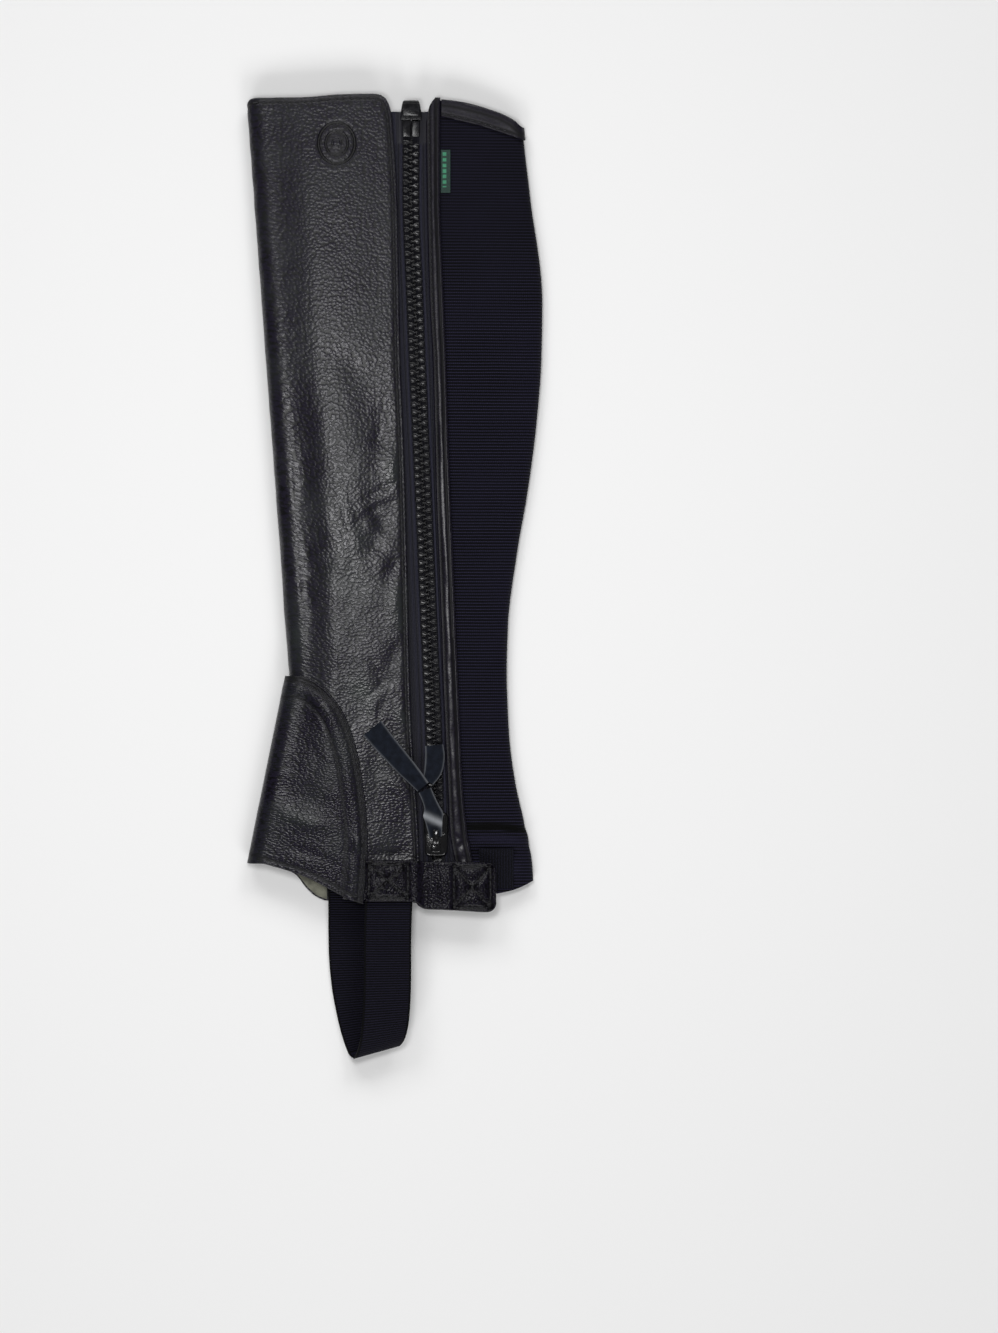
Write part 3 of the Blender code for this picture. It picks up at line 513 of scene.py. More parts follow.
# Faces of the pieces: height of each one's outer side, seen from above


def edge_line():
    """The shaft's outer edge: along its top from the front, round the corner and down beside the zip."""
    beside = line_down("edge", np.arange(243.0, SHAFT_HEM_Y, -2.0))
    return np.vstack([flowing(SHAFT_TOP, 1.0)[:-1], beside])


def rounded(away, radius):
    """Drop of a face towards its edge, which is rounded to a radius."""
    short = np.clip(radius - away, 0, radius)
    return -(radius - np.sqrt(np.maximum(radius * radius - short * short, 0)))


def inside_box(x, y, box):
    """Distance in from the nearest edge of a box given as low x, high x, low y, high y."""
    x0, x1, y0, y1 = box
    return np.minimum(np.minimum(x - x0, x1 - x), np.minimum(y - y0, y1 - y))


def row_of_holes(away, at, depth=0.28, half=0.7):
    """Shallow channel that a row of stitches pulls into the leather."""
    return -depth * bump((away - at) / half)


def shaft_relief(x, y):
    """How far the shaft's outer side stands off its smooth form."""
    away, _ = distance_to(x, y, edge_line())
    front = x - straight(SHAFT_FRONT, y)
    relief = creased(x, y, SHAFT_CREASES, 11)
    calm = 1 - 0.75 * clamped((y - 80.0) / 60.0)
    relief += calm * (0.30 * swell(x, 0.45 * y, 34.0, 3) + 0.05 * swell(x, 0.7 * y, 15.0, 4))
    relief += 0.02 * swell(x, y, 6.5, 5)
    relief *= np.clip(away / 5.0, 0.25, 1.0)
    relief += row_of_holes(away, SHAFT_SEWN, 0.48, 0.8) + rounded(away, 0.75)
    relief += 0.22 * bump((away - 1.1) / 0.8)
    relief -= 0.25 * bump((front - 6.4) / 1.5) * clamped((y + 60.0) / 30.0)
    return relief - 0.55 * medallion(x, y)


def medallion(x, y):
    """The plain pressed medallion: two rings round a pressed middle, 1 where it is deepest."""
    (outer, *_), (inner, *_), _ = MEDALLION_RINGS
    away = np.hypot(x - MEDALLION[0], (y - MEDALLION[1]) * MEDALLION_SQUASH)
    rings = bump((away - outer) / 0.9) + 0.7 * bump((away - inner) / 0.9)
    rings = rings - 0.35 * bump((away - MEDALLION_RIM) / 0.9)
    return rings + 0.4 * clamped((inner - away) / 1.0) - 0.6 * bump(away / 1.8)


def shaft_face(x, y):
    return height(x, y) + LAP + shaft_relief(x, y)


def toe_relief(x, y):
    seam = flowing(TOE_SEAM, 1.5)
    hem = flowing(TOE_HEM, 1.5)
    away, _ = distance_to(x, y, seam)
    low, _ = distance_to(x, y, hem)
    relief = creased(x, y, TOE_CREASES, 31)
    relief += 0.18 * swell(x, y, 30.0, 6) + 0.04 * swell(x * 0.55, y * 1.3, 11.0, 7)
    relief *= np.clip(np.minimum(away, low) / 5.0, 0.2, 1.0)
    for at in TOE_SEWN:
        relief += row_of_holes(away, at, 0.42, 0.8)
    relief += 0.50 * bump((away - 7.2) / 2.8)
    relief += row_of_holes(low, HEM_SEWN, 0.24)
    return relief + rounded(away, 0.8) + rounded(low, 0.8)


def toe_face(x, y):
    return height(x, y) + 2 * LAP + toe_relief(x, y)


def strip_relief(x, y):
    left, right = station("strip", y), station("strip_end", y)
    inward = np.minimum(x - left, right - x)
    share = clamped((x - left) / (right - left))
    relief = STRIP_RIDGE * np.sin(math.pi * share) + 0.06 * swell(x, y, 9.0, 8)
    relief += row_of_holes(x - left, LEFT_STRIP_SEWN, 0.35, 0.6)
    relief += row_of_holes(right - x, RIGHT_STRIP_SEWN, 0.50, 0.55)
    relief += 0.30 * bump((right - x - 1.0) / 0.7)
    relief += creased(x, y, STRIP_CREASES, 51)
    return relief + rounded(inward, 0.7)


def strip_face(x, y):
    return height(x, y) + LAP + strip_relief(x, y)


def elastic_relief(x, y):
    relief = creased(x, y, ELASTIC_CREASES, 61)
    return relief + 0.14 * swell(x, y, 60.0, 9) + 0.05 * swell(x, y, 22.0, 10)


def binding_relief(x, y):
    top, _ = distance_to(x, y, flowing(BINDING_TOP, 1.5))
    low, _ = distance_to(x, y, flowing(BINDING_LOW, 1.5))
    relief = 0.10 * swell(x, y, 12.0, 12) + row_of_holes(low, LOW_BINDING_SEWN, 0.25)
    relief += 0.16 * bump((top - 2.6) / 2.0)
    return relief + rounded(top, 0.5) + rounded(low, 0.5)


def binding_face(x, y):
    return height(x, y) + THIN_LEATHER + GAP + binding_relief(x, y)


def tab_ends(x):
    """Height of the tab's under side above the lowest layer, and its two long edges."""
    return (eased(TAB[:, 0], TAB[:, i], x) for i in (1, 2, 3))


def square_lines(box):
    """A stitched square and its two diagonals, as plan lines."""
    x0, x1, y0, y1 = box
    ring = [(x0, y0), (x1, y0), (x1, y1), (x0, y1), (x0, y0)]
    return [np.array(line, float) for line in (
        *zip(ring, ring[1:]), ((x0, y0), (x1, y1)), ((x0, y1), (x1, y0)),
    )]


def tab_relief(x, y):
    _, top, low = tab_ends(x)
    inward = np.minimum(np.minimum(top - y, y - low), np.minimum(TAB[-1, 0] - x, x - TAB[0, 0]))
    relief = 0.10 * swell(x, y, 14.0, 13) + rounded(inward, 0.7)
    relief += 0.18 * bump((inward - 1.2) / 0.8)
    for box in TAB_SQUARES:
        for line in square_lines(box):
            away, _ = distance_to(x, y, line)
            relief -= 0.85 * bump(away / 1.2)
    relief += creased(x, y, TAB_CREASES, 71)
    return relief


def tab_face(x, y):
    under, _, _ = tab_ends(x)
    return height(x, y) + under + LEATHER + tab_relief(x, y)


def tape_relief(x, y):
    """The tape's raised cord beside the teeth and the film welded over its top end."""
    away = np.abs(x - station("zip", y))
    relief = 0.32 * bump((away - 5.2) / 0.6) - 0.2 * bump((away - 6.4) / 0.5)
    relief = relief + 0.16 * bump((away - 7.8) / 0.7)
    film = clamped((y - 229.0) / 1.0) * clamped((away - 4.2) / 0.6)
    return relief + 0.14 * film


# Meshes


def raw_mesh(name, vertices, faces):
    """Mesh from an array of points and arrays of faces, one array for each count of corners."""
    mesh = bpy.data.meshes.new(name)
    counts = np.concatenate([np.full(len(f), f.shape[1]) for f in faces])
    corners = np.concatenate([f.ravel() for f in faces])
    mesh.vertices.add(len(vertices))
    mesh.vertices.foreach_set("co", (np.asarray(vertices) * MM).astype(np.float32).ravel())
    mesh.loops.add(len(corners))
    mesh.loops.foreach_set("vertex_index", corners.astype(np.int32))
    mesh.polygons.add(len(counts))
    starts = np.concatenate([[0], np.cumsum(counts)[:-1]])
    mesh.polygons.foreach_set("loop_start", starts.astype(np.int32))
    mesh.update(calc_edges=True)
    mesh.polygons.foreach_set("use_smooth", np.ones(len(counts), bool))
    mesh.set_sharp_from_angle(angle=math.radians(48.0))
    return mesh


def paint(mesh, name, values):
    """Point attribute that a finish reads: one number or one vector for each point."""
    vector = values.ndim == 2
    made = mesh.attributes.new(name, "FLOAT_VECTOR" if vector else "FLOAT", "POINT")
    made.data.foreach_set("vector" if vector else "value", values.astype(np.float32).ravel())


def shown(name, mesh, finish, nodes=()):
    """A finished piece in the scene, riding on the chap and standing for its packed nodes."""
    piece = bpy.data.objects.new(name, mesh)
    bpy.context.scene.collection.objects.link(piece)
    mesh.materials.append(finish)
    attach(piece, BODY)
    if nodes:
        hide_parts(*nodes)
    return piece


def outward(points):
    """Unit normals of a grid of points whose rows run down the leg and whose columns run leftwards."""
    found = np.cross(np.gradient(points, axis=1), np.gradient(points, axis=0))
    size = np.linalg.norm(found, axis=2, keepdims=True)
    sliver = (size < 0.02).all(2) | ((found[..., 2] < 0) & (points[..., 2] > 6.0))
    found[sliver] = (0.0, 0.0, 1.0)
    return found / np.linalg.norm(found, axis=2, keepdims=True)


def shell(name, form, relief, thickness, masks=None, keep=None):
    """Closed mesh of a piece of cloth: a grid for its smooth form, the relief of its outer face, and an
    inner face a thickness behind the form. keep says which cells of the grid the piece has."""
    rows, columns = form.shape[:2]
    normals = outward(form)
    normals[form[..., 2] == 0] = (0.0, 0.0, -1.0)
    outer = form + normals * relief[..., None]
    inner = form - normals * thickness
    index = np.arange(rows * columns).reshape(rows, columns)
    quads = np.stack([index[:-1, :-1], index[:-1, 1:], index[1:, 1:], index[1:, :-1]], -1)
    quads = quads.reshape(-1, 4) if keep is None else quads[keep]
    count = rows * columns
    edges = np.stack([quads, np.roll(quads, -1, axis=1)], -1).reshape(-1, 2)
    lone = ~np.isin(edges[:, 0] * count + edges[:, 1], edges[:, 1] * count + edges[:, 0])
    a, b = edges[lone].T
    rim = np.stack([b, a, a + count, b + count], -1)
    faces = np.concatenate([quads, quads[:, ::-1] + count, rim])
    used, faces = np.unique(faces, return_inverse=True)
    points = np.concatenate([outer.reshape(-1, 3), inner.reshape(-1, 3)])[used]
    mesh = raw_mesh(name, points, [faces.reshape(-1, 4)])
    spread = {"lie": flat_cut(form), **(masks or {})}
    for key, values in spread.items():
        values = np.asarray(values, float)
        flat = values.reshape(-1, 3) if values.ndim == 3 else np.broadcast_to(values, (rows, columns)).ravel()
        paint(mesh, key, np.concatenate([flat, flat])[used])
    return mesh


def summed(steps):
    """Steps along each row added up from zero."""
    return np.concatenate([np.zeros((len(steps), 1)), np.cumsum(steps, axis=1)], axis=1)


def flat_cut(points):
    """Where each point of a grid lies on the flat cut: its run along the row, and its place down the leg."""
    run = summed(np.linalg.norm(np.diff(points, axis=1), axis=2))
    return np.stack([run, points[..., 1], np.zeros_like(run)], -1)


def drawn(form, pull, fine=1.0):
    """Flat place of each point for the grain, which is drawn out sideways and downhill where it is pulled,
    and finer where the leather is stretched low on the leg."""
    flat = flat_cut(form) * fine
    flat[..., 1] -= 0.3 * np.clip(-10.0 - flat[..., 1], 0, None)
    run = summed(np.diff(flat[..., 0], axis=1) * (0.86 - 0.20 * (pull[:, 1:] + pull[:, :-1])))
    return np.stack([run, flat[..., 1] - 0.12 * pull * run, np.zeros_like(run)], -1)


def cut_size(points, keep=None):
    """Width, length and area in metres of the flat cut that a grid stands for."""
    across = np.linalg.norm(np.diff(points, axis=1), axis=2).sum(1).max()
    down = np.linalg.norm(np.diff(points, axis=0), axis=2).sum(0).max()
    one, other = points[:-1, :-1] - points[1:, 1:], points[:-1, 1:] - points[1:, :-1]
    area = 0.5 * np.linalg.norm(np.cross(one, other), axis=2)
    area = area.sum() if keep is None else area[keep].sum()
    return (across * MM, down * MM), min(area * MM * MM, across * down * MM * MM)


def declare(form, keep=None, turned=0.0):
    """Works out the size of the sheet of cloth or leather that a piece was cut from, all round where it is
    folded, with the millimetres of width that are turned in at its edges, and keeps none of it."""
    (width, length), area = cut_size(form, keep)
    width + turned * MM
    area + turned * MM * length


def trimmed(form, removed, line):
    """Moves the points along a trimmed edge of a grid onto the line that it was cut to."""
    near = np.zeros(form.shape[:2], bool)
    kept = np.zeros(form.shape[:2], bool)
    for rows in (slice(None, -1), slice(1, None)):
        for columns in (slice(None, -1), slice(1, None)):
            near[rows, columns] |= removed
            kept[rows, columns] |= ~removed
    here = near & kept & (form[..., 2] < 5.0)
    places = form[here][:, :2]
    gaps = places[:, None] - line[None]
    nearest = line[np.argmin((gaps ** 2).sum(-1), axis=1)]
    form = form.copy()
    form[here, :2] = nearest
    return form


def offsets(near, count):
    """Columns across a width, dense near an edge: the distance and the share of the rest for each."""
    shares = np.linspace(0, 1, count + 1)[1:]
    return (np.concatenate([near, np.full(count, near[-1])]), np.concatenate([np.zeros(len(near)), shares]))


def placed(width, columns):
    """Distance from the edge of each column across a width."""
    near, share = columns
    squeeze = np.minimum(1.0, width / (3.0 * near.max()))
    return near * squeeze + share * (width - near.max() * squeeze)


def front_form(y, front, start, end, lift, upper, angles, under):
    """Places across and heights of leather that goes round the front fold, at given places down the leg.
    Columns: upper ones from the start to the fold, the fold's angles, and under ones to the end."""
    nu, nf = len(upper[0]), len(angles)
    yu, yf, yd = y[..., :nu], y[..., nu:nu + nf], y[..., nu + nf:]
    turn = front(yu) + FRONT_FOLD
    xu = start(yu) - placed(start(yu) - turn, upper)
    zu = height(xu, yu) + lift
    turn = front(yf) + FRONT_FOLD
    top = height(turn, yf) + lift
    xf, zf = turn - FRONT_FOLD * np.cos(angles), 0.5 * top * (1 + np.sin(angles))
    turn = front(yd) + FRONT_FOLD
    xd = end(yd) - placed(end(yd) - turn, under)
    return np.concatenate([xu, xf, xd], -1), np.concatenate([zu, zf, np.zeros_like(xd)], -1)


def copies(name, points, faces, places):
    """One mesh of many copies of a small shape. places is (n, 4, 3): origin and three axes of each."""
    points = np.asarray(points, float)
    spread = places[:, None, 0] + np.einsum("pk,nkc->npc", points, places[:, 1:])
    shift = (np.arange(len(places)) * len(points))[:, None, None]
    return raw_mesh(name, spread.reshape(-1, 3), [(f[None] + shift).reshape(-1, f.shape[1]) for f in faces])


def tube_faces(rings, sides):
    """Faces of a closed tube of rings, its ends capped."""
    i, j = np.meshgrid(np.arange(rings - 1), np.arange(sides), indexing="ij")
    k = (j + 1) % sides
    walls = np.stack([i * sides + j, i * sides + k, (i + 1) * sides + k, (i + 1) * sides + j], -1)
    caps = np.stack([np.arange(sides)[::-1], (rings - 1) * sides + np.arange(sides)])
    return [walls.reshape(-1, 4), caps]


def turned_in(outline, distance):
    """A closed plan outline, run counterclockwise, moved inwards."""
    before, after = np.roll(outline, 1, axis=0), np.roll(outline, -1, axis=0)
    along = (after - before) / np.linalg.norm(after - before, axis=1)[:, None]
    return outline + distance * np.stack([-along[:, 1], along[:, 0]], 1)


def softened(outline, low, high, radius, steps=3):
    """Points of a moulded block on a plan outline, its edges rounded above and a little below."""
    rings = [(low, 0.4 * radius), (low + 0.4 * radius, 0.0)]
    for angle in np.linspace(0, 0.5 * math.pi, steps + 1):
        rings.append((high - radius * (1 - math.sin(angle)), radius * (1 - math.cos(angle))))
    points = []
    for z, inset in rings:
        flat = turned_in(outline, inset)
        points.append(np.column_stack([flat, np.full(len(flat), z)]))
    return np.concatenate(points), tube_faces(len(rings), len(outline))


def joined(name, shapes):
    """One mesh of several closed shapes, given as points and faces."""
    points, faces, count = [], {}, 0
    for shape_points, shape_faces in shapes:
        for face in shape_faces:
            faces.setdefault(face.shape[1], []).append(face + count)
        points.append(shape_points)
        count += len(shape_points)
    return raw_mesh(name, np.concatenate(points), [np.concatenate(f) for f in faces.values()])


def rounded_box(box, radius, steps=5):
    """Plan outline of a box given as low x, high x, low y, high y, with round corners."""
    x0, x1, y0, y1 = box
    found = []
    for x, y, start in ((x1, y1, 0.0), (x0, y1, 90.0), (x0, y0, 180.0), (x1, y0, 270.0)):
        cx = x - math.copysign(radius, x - 0.5 * (x0 + x1))
        cy = y - math.copysign(radius, y - 0.5 * (y0 + y1))
        for angle in np.radians(np.linspace(start, start + 90.0, steps + 1)):
            found.append((cx + radius * math.cos(angle), cy + radius * math.sin(angle)))
    return np.array(found)


def stitch_places(line, normals, pitch, long, seed):
    """Origin and axes of each stitch along a line on a face: along it, across it and out of it."""
    away = run_along(line)
    count = max(1, int(away[-1] / pitch))
    rng = np.random.default_rng(seed)
    at = (np.arange(count) + 0.5) * away[-1] / count + rng.normal(0, 0.04 * pitch, count)

    def read(values, shift=0.0):
        return np.stack([np.interp(at + shift, away, c) for c in values.T], 1)

    def unit(values):
        return values / np.linalg.norm(values, axis=1)[:, None]

    out, along = unit(read(normals)), unit(read(line, 0.4) - read(line, -0.4))
    side = np.cross(out, along)
    lean = rng.normal(0.09, 0.05, count)[:, None]
    along = along * np.cos(lean) + side * np.sin(lean)
    size = rng.normal(1.0, 0.05, (count, 1))
    return np.stack([read(line), along * long * size, np.cross(out, along), out], 1)


def on_face(face, line, under=False):
    """A plan line laid on a face, with the face's normals along it."""
    x, y = line[:, 0], line[:, 1]
    z = face(x, y)
    lean = np.stack([face(x - 0.4, y) - face(x + 0.4, y), face(x, y - 0.4) - face(x, y + 0.4),
                     np.full(len(x), 0.8)], 1)
    if under:
        lean *= -1
    return np.column_stack([x, y, z]), lean / np.linalg.norm(lean, axis=1)[:, None]


def stitching(name, lines, look, scale=1.0):
    """All the stitches of some seams as one piece. lines holds (points, normals)."""
    angles = np.arange(STITCH_SIDES) * 2 * math.pi / STITCH_SIDES
    thick = look.thread * scale
    shape = [
        (along, 0.5 * thick * wide * math.cos(a), up * thick + 0.45 * thick * wide * math.sin(a))
        for along, up, wide in STITCH_RINGS for a in angles
    ]
    pitch = look.pitch * scale
    places = np.concatenate([
        stitch_places(line, normals, pitch, 0.8 * pitch, 40 + i) for i, (line, normals) in enumerate(lines)
    ])
    mesh = copies(name, shape, tube_faces(len(STITCH_RINGS), STITCH_SIDES), places)
    return shown(name, mesh, thread_finish(look))


# Finishes


class Value:
    """Output of a node, for use in sums: each operator adds the Math node that it needs."""

    def __init__(self, finish, output):
        self.finish, self.output = finish, output

    def __add__(self, other):
        return self.finish.maths("ADD", self, other)

    def __sub__(self, other):
        return self.finish.maths("SUBTRACT", self, other)

    def __rsub__(self, other):
        return self.finish.maths("SUBTRACT", other, self)

    def __mul__(self, other):
        return self.finish.maths("MULTIPLY", self, other)

    def __truediv__(self, other):
        return self.finish.maths("DIVIDE", self, other)

    def __pow__(self, power):
        return self.finish.maths("POWER", self, power)

    __radd__, __rmul__ = __add__, __mul__


class Finish:
    """A material in the making. node() adds any node, and the others are short forms of it."""

    def __init__(self, name):
        self.material = bpy.data.materials.new(name)
        self.material.use_nodes = True
        self.tree = self.material.node_tree
        self.shader = self.tree.nodes["Principled BSDF"]

    def join(self, value, socket):
        if isinstance(value, Value):
            self.tree.links.new(value.output, socket)
        else:
            socket.default_value = value

    def node(self, kind, settings, inputs, output=0):
        """Adds a node: its type, its settings, the values or links of its sockets, and which output."""
        made = self.tree.nodes.new("ShaderNode" + kind)
        for name, value in settings.items():
            if name == "stops":
                ramp = made.color_ramp.elements
                for _ in value[2:]:
                    ramp.new(0.5)
                for stop, (place, color) in zip(ramp, value):
                    stop.position, stop.color = place, color
            else:
                setattr(made, name, value)
        for key, value in inputs.items():
            self.join(value, made.inputs[key])
        return Value(self, made.outputs[output])

    def maths(self, operation, *values):
        return self.node("Math", {"operation": operation}, dict(enumerate(values)))

    def attribute(self, name, output="Fac"):
        return self.node("Attribute", {"attribute_name": name, "attribute_type": "GEOMETRY"}, {}, output)

    def split(self, vector):
        made = self.node("SeparateXYZ", {}, {0: vector}).output.node
        return [Value(self, made.outputs[i]) for i in range(3)]

    def place(self, x, y, z=0.0):
        return self.node("CombineXYZ", {}, {0: x, 1: y, 2: z})

    def cut_place(self):
        """Place on the flat cut in millimetres, across it and along it."""
        return self.split(self.attribute("lie", "Vector"))[:2]

    def own_place(self):
        """Place on the piece in millimetres."""
        found = self.node("TexCoord", {}, {}, "Object")
        return self.node("VectorMath", {"operation": "MULTIPLY"}, {0: found, 1: (1000.0,) * 3})

    def noise(self, place, size, detail=2.0, roughness=0.5):
        return self.node("TexNoise", {"noise_dimensions": "3D"}, {
            "Vector": place, "Scale": 1.0 / size, "Detail": detail, "Roughness": roughness}, "Fac")

    def tufts(self, place, size):
        """Distance from the middle of uneven tufts, 0 to about 1."""
        return self.node("TexVoronoi", {"voronoi_dimensions": "2D", "feature": "F1"}, {
            "Vector": place, "Scale": 1.0 / size, "Randomness": 0.7}, "Distance")

    def domes(self, place, size):
        """Distance from the middle of soft round cells, 0 to about 1."""
        return self.node("TexVoronoi", {"voronoi_dimensions": "2D", "feature": "SMOOTH_F1"}, {
            "Vector": place, "Scale": 1.0 / size, "Smoothness": 0.6, "Randomness": 0.95}, "Distance")

    def ramp(self, value, low, high, start=0.0, end=1.0):
        """The value from low to high eased to run from start to end, and held past both."""
        return self.node("MapRange", {"interpolation_type": "SMOOTHSTEP"}, {
            "Value": value, "From Min": low, "From Max": high, "To Min": start, "To Max": end})

    def wave(self, value, pitch):
        """A wave from 0 to 1 that repeats every pitch."""
        return self.maths("SINE", value * (2 * math.pi / pitch)) * 0.5 + 0.5

    def mix(self, share, first, second):
        """Colour between two, each a colour or a link."""
        return self.node("Mix", {"data_type": "RGBA"}, {0: share, 6: opaque(first), 7: opaque(second)}, 2)

    def relief(self, height_mm, strength=1.0):
        return self.node("Bump", {}, {"Strength": strength, "Distance": MM, "Height": height_mm}, "Normal")

    def surface(self, **inputs):
        for name, value in inputs.items():
            self.join(value, self.shader.inputs[name.replace("_", " ")])
        return self.material


def opaque(color):
    return color if isinstance(color, Value) else (*color[:3], 1.0)


def shaded(color, share):
    return tuple(c * share for c in color[:3])


def known(make):
    """Makes a finish once and finds it again by its name."""
    name = make.__name__

    def found(look):
        return bpy.data.materials.get(name) or make(Finish(name), look)

    return found


def pebbled(f, look, gloss):
    """Soft pebbled leather: round cells, drawn into lines where it is pulled round the front, with painted
    shade in the hollows between the cells, in the stitch channels and in the medallion's rings, and a grey
    sheen painted along the listed sheen lines."""
    u, v = f.cut_place()
    rub, matt = f.attribute("rub"), f.attribute("matt")
    flat = f.place(u, v)
    drawn_u, drawn_v, _ = f.split(f.attribute("drawn", "Vector"))
    place = f.place(drawn_u + f.noise(flat, 2.6, 1.0) * 1.1, drawn_v + f.noise(f.place(v, u), 2.6, 1.0) * 1.1)
    seam = f.attribute("seam")
    pebbles = f.ramp(f.domes(place, look.grain), 0.15, 0.70, 1.0, 0.0)
    fine = f.noise(f.place(drawn_u, drawn_v), look.grain * 0.7, 1.0)
    broad = f.noise(flat, 24.0, 3.0)
    patch = f.noise(flat, 5.0, 3.0)
    x, y, z = f.split(f.own_place())
    away = ((x - MEDALLION[0]) ** 2.0 + ((y - MEDALLION[1]) * MEDALLION_SQUASH) ** 2.0) ** 0.5
    outer, inner, dot = (
        f.ramp(f.maths("ABSOLUTE", away - radius), pressed, level, 1.0, 0.0) * strength
        for radius, pressed, level, strength in MEDALLION_RINGS)
    medal = (outer + inner + dot) * f.ramp(z, 4.0, 7.0)
    grain = pebbles * 0.80 + fine * 0.40
    deep = f.ramp(grain, 0.30, 0.80)
    # The hollows between the grain's cells are painted down to a near black copy of the leather's colour:
    # painted shade
    color = f.mix(deep, shaded(look.color, 0.15), look.color)
    # Broad greyer patches of the leather's own tone, thinner where it is matt, and a painted grey sheen along
    # the listed sheen lines
    color = f.mix(f.ramp(broad, 0.35, 0.7) * 0.3 * (1 - matt) + rub * 0.6, color, look.bloom_and_sheen)
    # Painted shade: the stitch channels and the medallion's pressed rings are painted towards black
    color = f.mix(f.maths("MINIMUM", seam * 0.85 + medal * 0.5, 1.0), color, BLACK)
    shine = look.roughness + (patch - 0.5) * 0.10 + (broad - 0.5) * 0.12 + (1 - deep) * 0.08 - rub * 0.07
    shine = shine + matt * 0.28 + seam * 0.25
    return f.surface(
        Base_Color=color, Roughness=shine, Specular_IOR_Level=look.shine * gloss,
        Normal=f.relief(grain * look.depth + patch * 0.04 - medal * 0.42),
    )


@known
def grained_leather_finish(f, look):
    """The shaft's leather."""
    return pebbled(f, look, 1.0)


@known
def toe_leather_finish(f, look):
    """The toe piece's leather, less glossy than the shaft's."""
    return pebbled(f, look, 0.66)


@known
def smooth_leather_finish(f, look):
    """The smooth polished leather of the strip and the binding."""
    place, matt, seam = f.own_place(), f.attribute("matt"), f.attribute("seam")
    x, y, _ = f.split(place)
    flat = f.place(x + f.noise(place, 5.0) * 1.2, y)
    cells = f.ramp(f.domes(flat, look.grain * 0.8), 0.1, 0.8, 1.0, 0.0)
    patch, fine = f.noise(place, 9.0, 3.0), f.noise(place, 0.4, 3.0)
    grain = cells * 0.3 + fine * 0.03
    # The hollows between the cells are painted darker than their tops: painted shade
    color = f.mix(f.ramp(grain, 0.05, 0.3), shaded(look.color, 0.4), shaded(look.color, 0.9))
    # Painted shade in the stitch channels
    color = f.mix(seam * 0.85, color, BLACK)
    return f.surface(
        Base_Color=color, Roughness=look.roughness - 0.02 + (patch - 0.5) * 0.12 + matt * 0.3 + seam * 0.3,
        Specular_IOR_Level=look.shine * 0.8, Normal=f.relief(grain * look.depth * 0.5 + patch * 0.08),
    )


@known
def dull_leather_finish(f, look):
    """The duller leather of the tab, with a deep grain rubbed shiny in places."""
    place, seam = f.own_place(), f.attribute("seam")
    x, y, _ = f.split(place)
    flat = f.place(x + f.noise(place, 5.0) * 1.2, y)
    cells = f.ramp(f.domes(flat, look.grain * 0.7), 0.1, 0.8, 1.0, 0.0)
    patch, fine = f.noise(place, 6.0, 4.0), f.noise(place, 0.5, 3.0)
    rubbed = f.ramp(patch, 0.52, 0.68)
    grain = cells * 0.7 + fine * 0.06
    # The hollows between the cells are painted much darker than their tops: painted shade
    color = f.mix(f.ramp(grain, 0.15, 0.6), shaded(look.color, 0.1), shaded(look.color, 0.6))
    # Painted shade in the stitch channels
    color = f.mix(seam * 0.95, color, BLACK)
    return f.surface(
        Base_Color=color, Roughness=0.30 - rubbed * 0.06 + seam * 0.1, Specular_IOR_Level=0.17,
        Normal=f.relief(grain * look.depth * 1.5 + patch * 0.12),
    )


@known
def thong_finish(f, look):
    """Split leather with a short nap, with painted highlights along its edges and over the fold of the loop.
    """
    u, v = f.cut_place()
    edge = f.attribute("edge")
    flat = f.place(u, v)
    nap = f.noise(f.place(u * 2.0, v * 0.7), 0.5, 4.0, 0.7)
    patch = f.noise(flat, 4.0, 3.0)
    color = f.mix(f.ramp(patch, 0.3, 0.7), look.thong, shaded(look.thong, 1.9))
    # Painted highlights along the edges and over the loop's fold
    color = f.mix(edge * 0.4, color, (0.24, 0.25, 0.27))
    return f.surface(Base_Color=color, Roughness=0.64 + nap * 0.25 - edge * 0.1, Specular_IOR_Level=0.10,
                     Normal=f.relief(nap * 0.12 + patch * 0.1))


@known
def ribbed_elastic_finish(f, look):
    """Matt elastic: cords across its width between rows of a close knit."""
    u, v = f.cut_place()
    waver = f.noise(f.place(u * 0.2, v * 0.2), 4.0) * 0.35
    rib = f.wave(v + waver, look.rib)
    wale = f.wave(u + f.noise(f.place(u, v), 3.0) * 0.5, look.rib * 0.62)
    fuzz = f.noise(f.place(u, v), 0.3, 3.0, 0.7)
    broad = f.noise(f.place(u, v), 30.0, 3.0)
    close, fold = f.attribute("close"), f.attribute("fold")
    # Painted light and shade: the rib tops are painted lighter and the gaps between them black
    raised = (rib * 0.7 + wale * rib * 0.3) * (1 - close * 0.75) + close * 0.4
    color = f.mix(f.ramp(raised, 0.35, 1.0), shaded(look.color, 0.0), shaded(look.color, 4.6))
    color = f.mix(f.ramp(broad, 0.3, 0.75) * 0.20 + fuzz * 0.10, color, shaded(look.color, 2.0))
    # Painted highlight on the ridges of the lower creases, and painted shade in their troughs
    color = f.mix(f.ramp(fold, 0.3, 1.4) * 0.5, color, shaded(look.color, 2.6))
    color = f.mix(f.ramp(fold, -1.3, -0.2, 1.0, 0.0), color, BLACK)
    return f.surface(Base_Color=color, Roughness=0.74 + fuzz * 0.15, Specular_IOR_Level=0.09,
                     Sheen_Weight=0.04, Sheen_Roughness=0.5,
                     Normal=f.relief(raised * look.rib_depth + fuzz * 0.06))


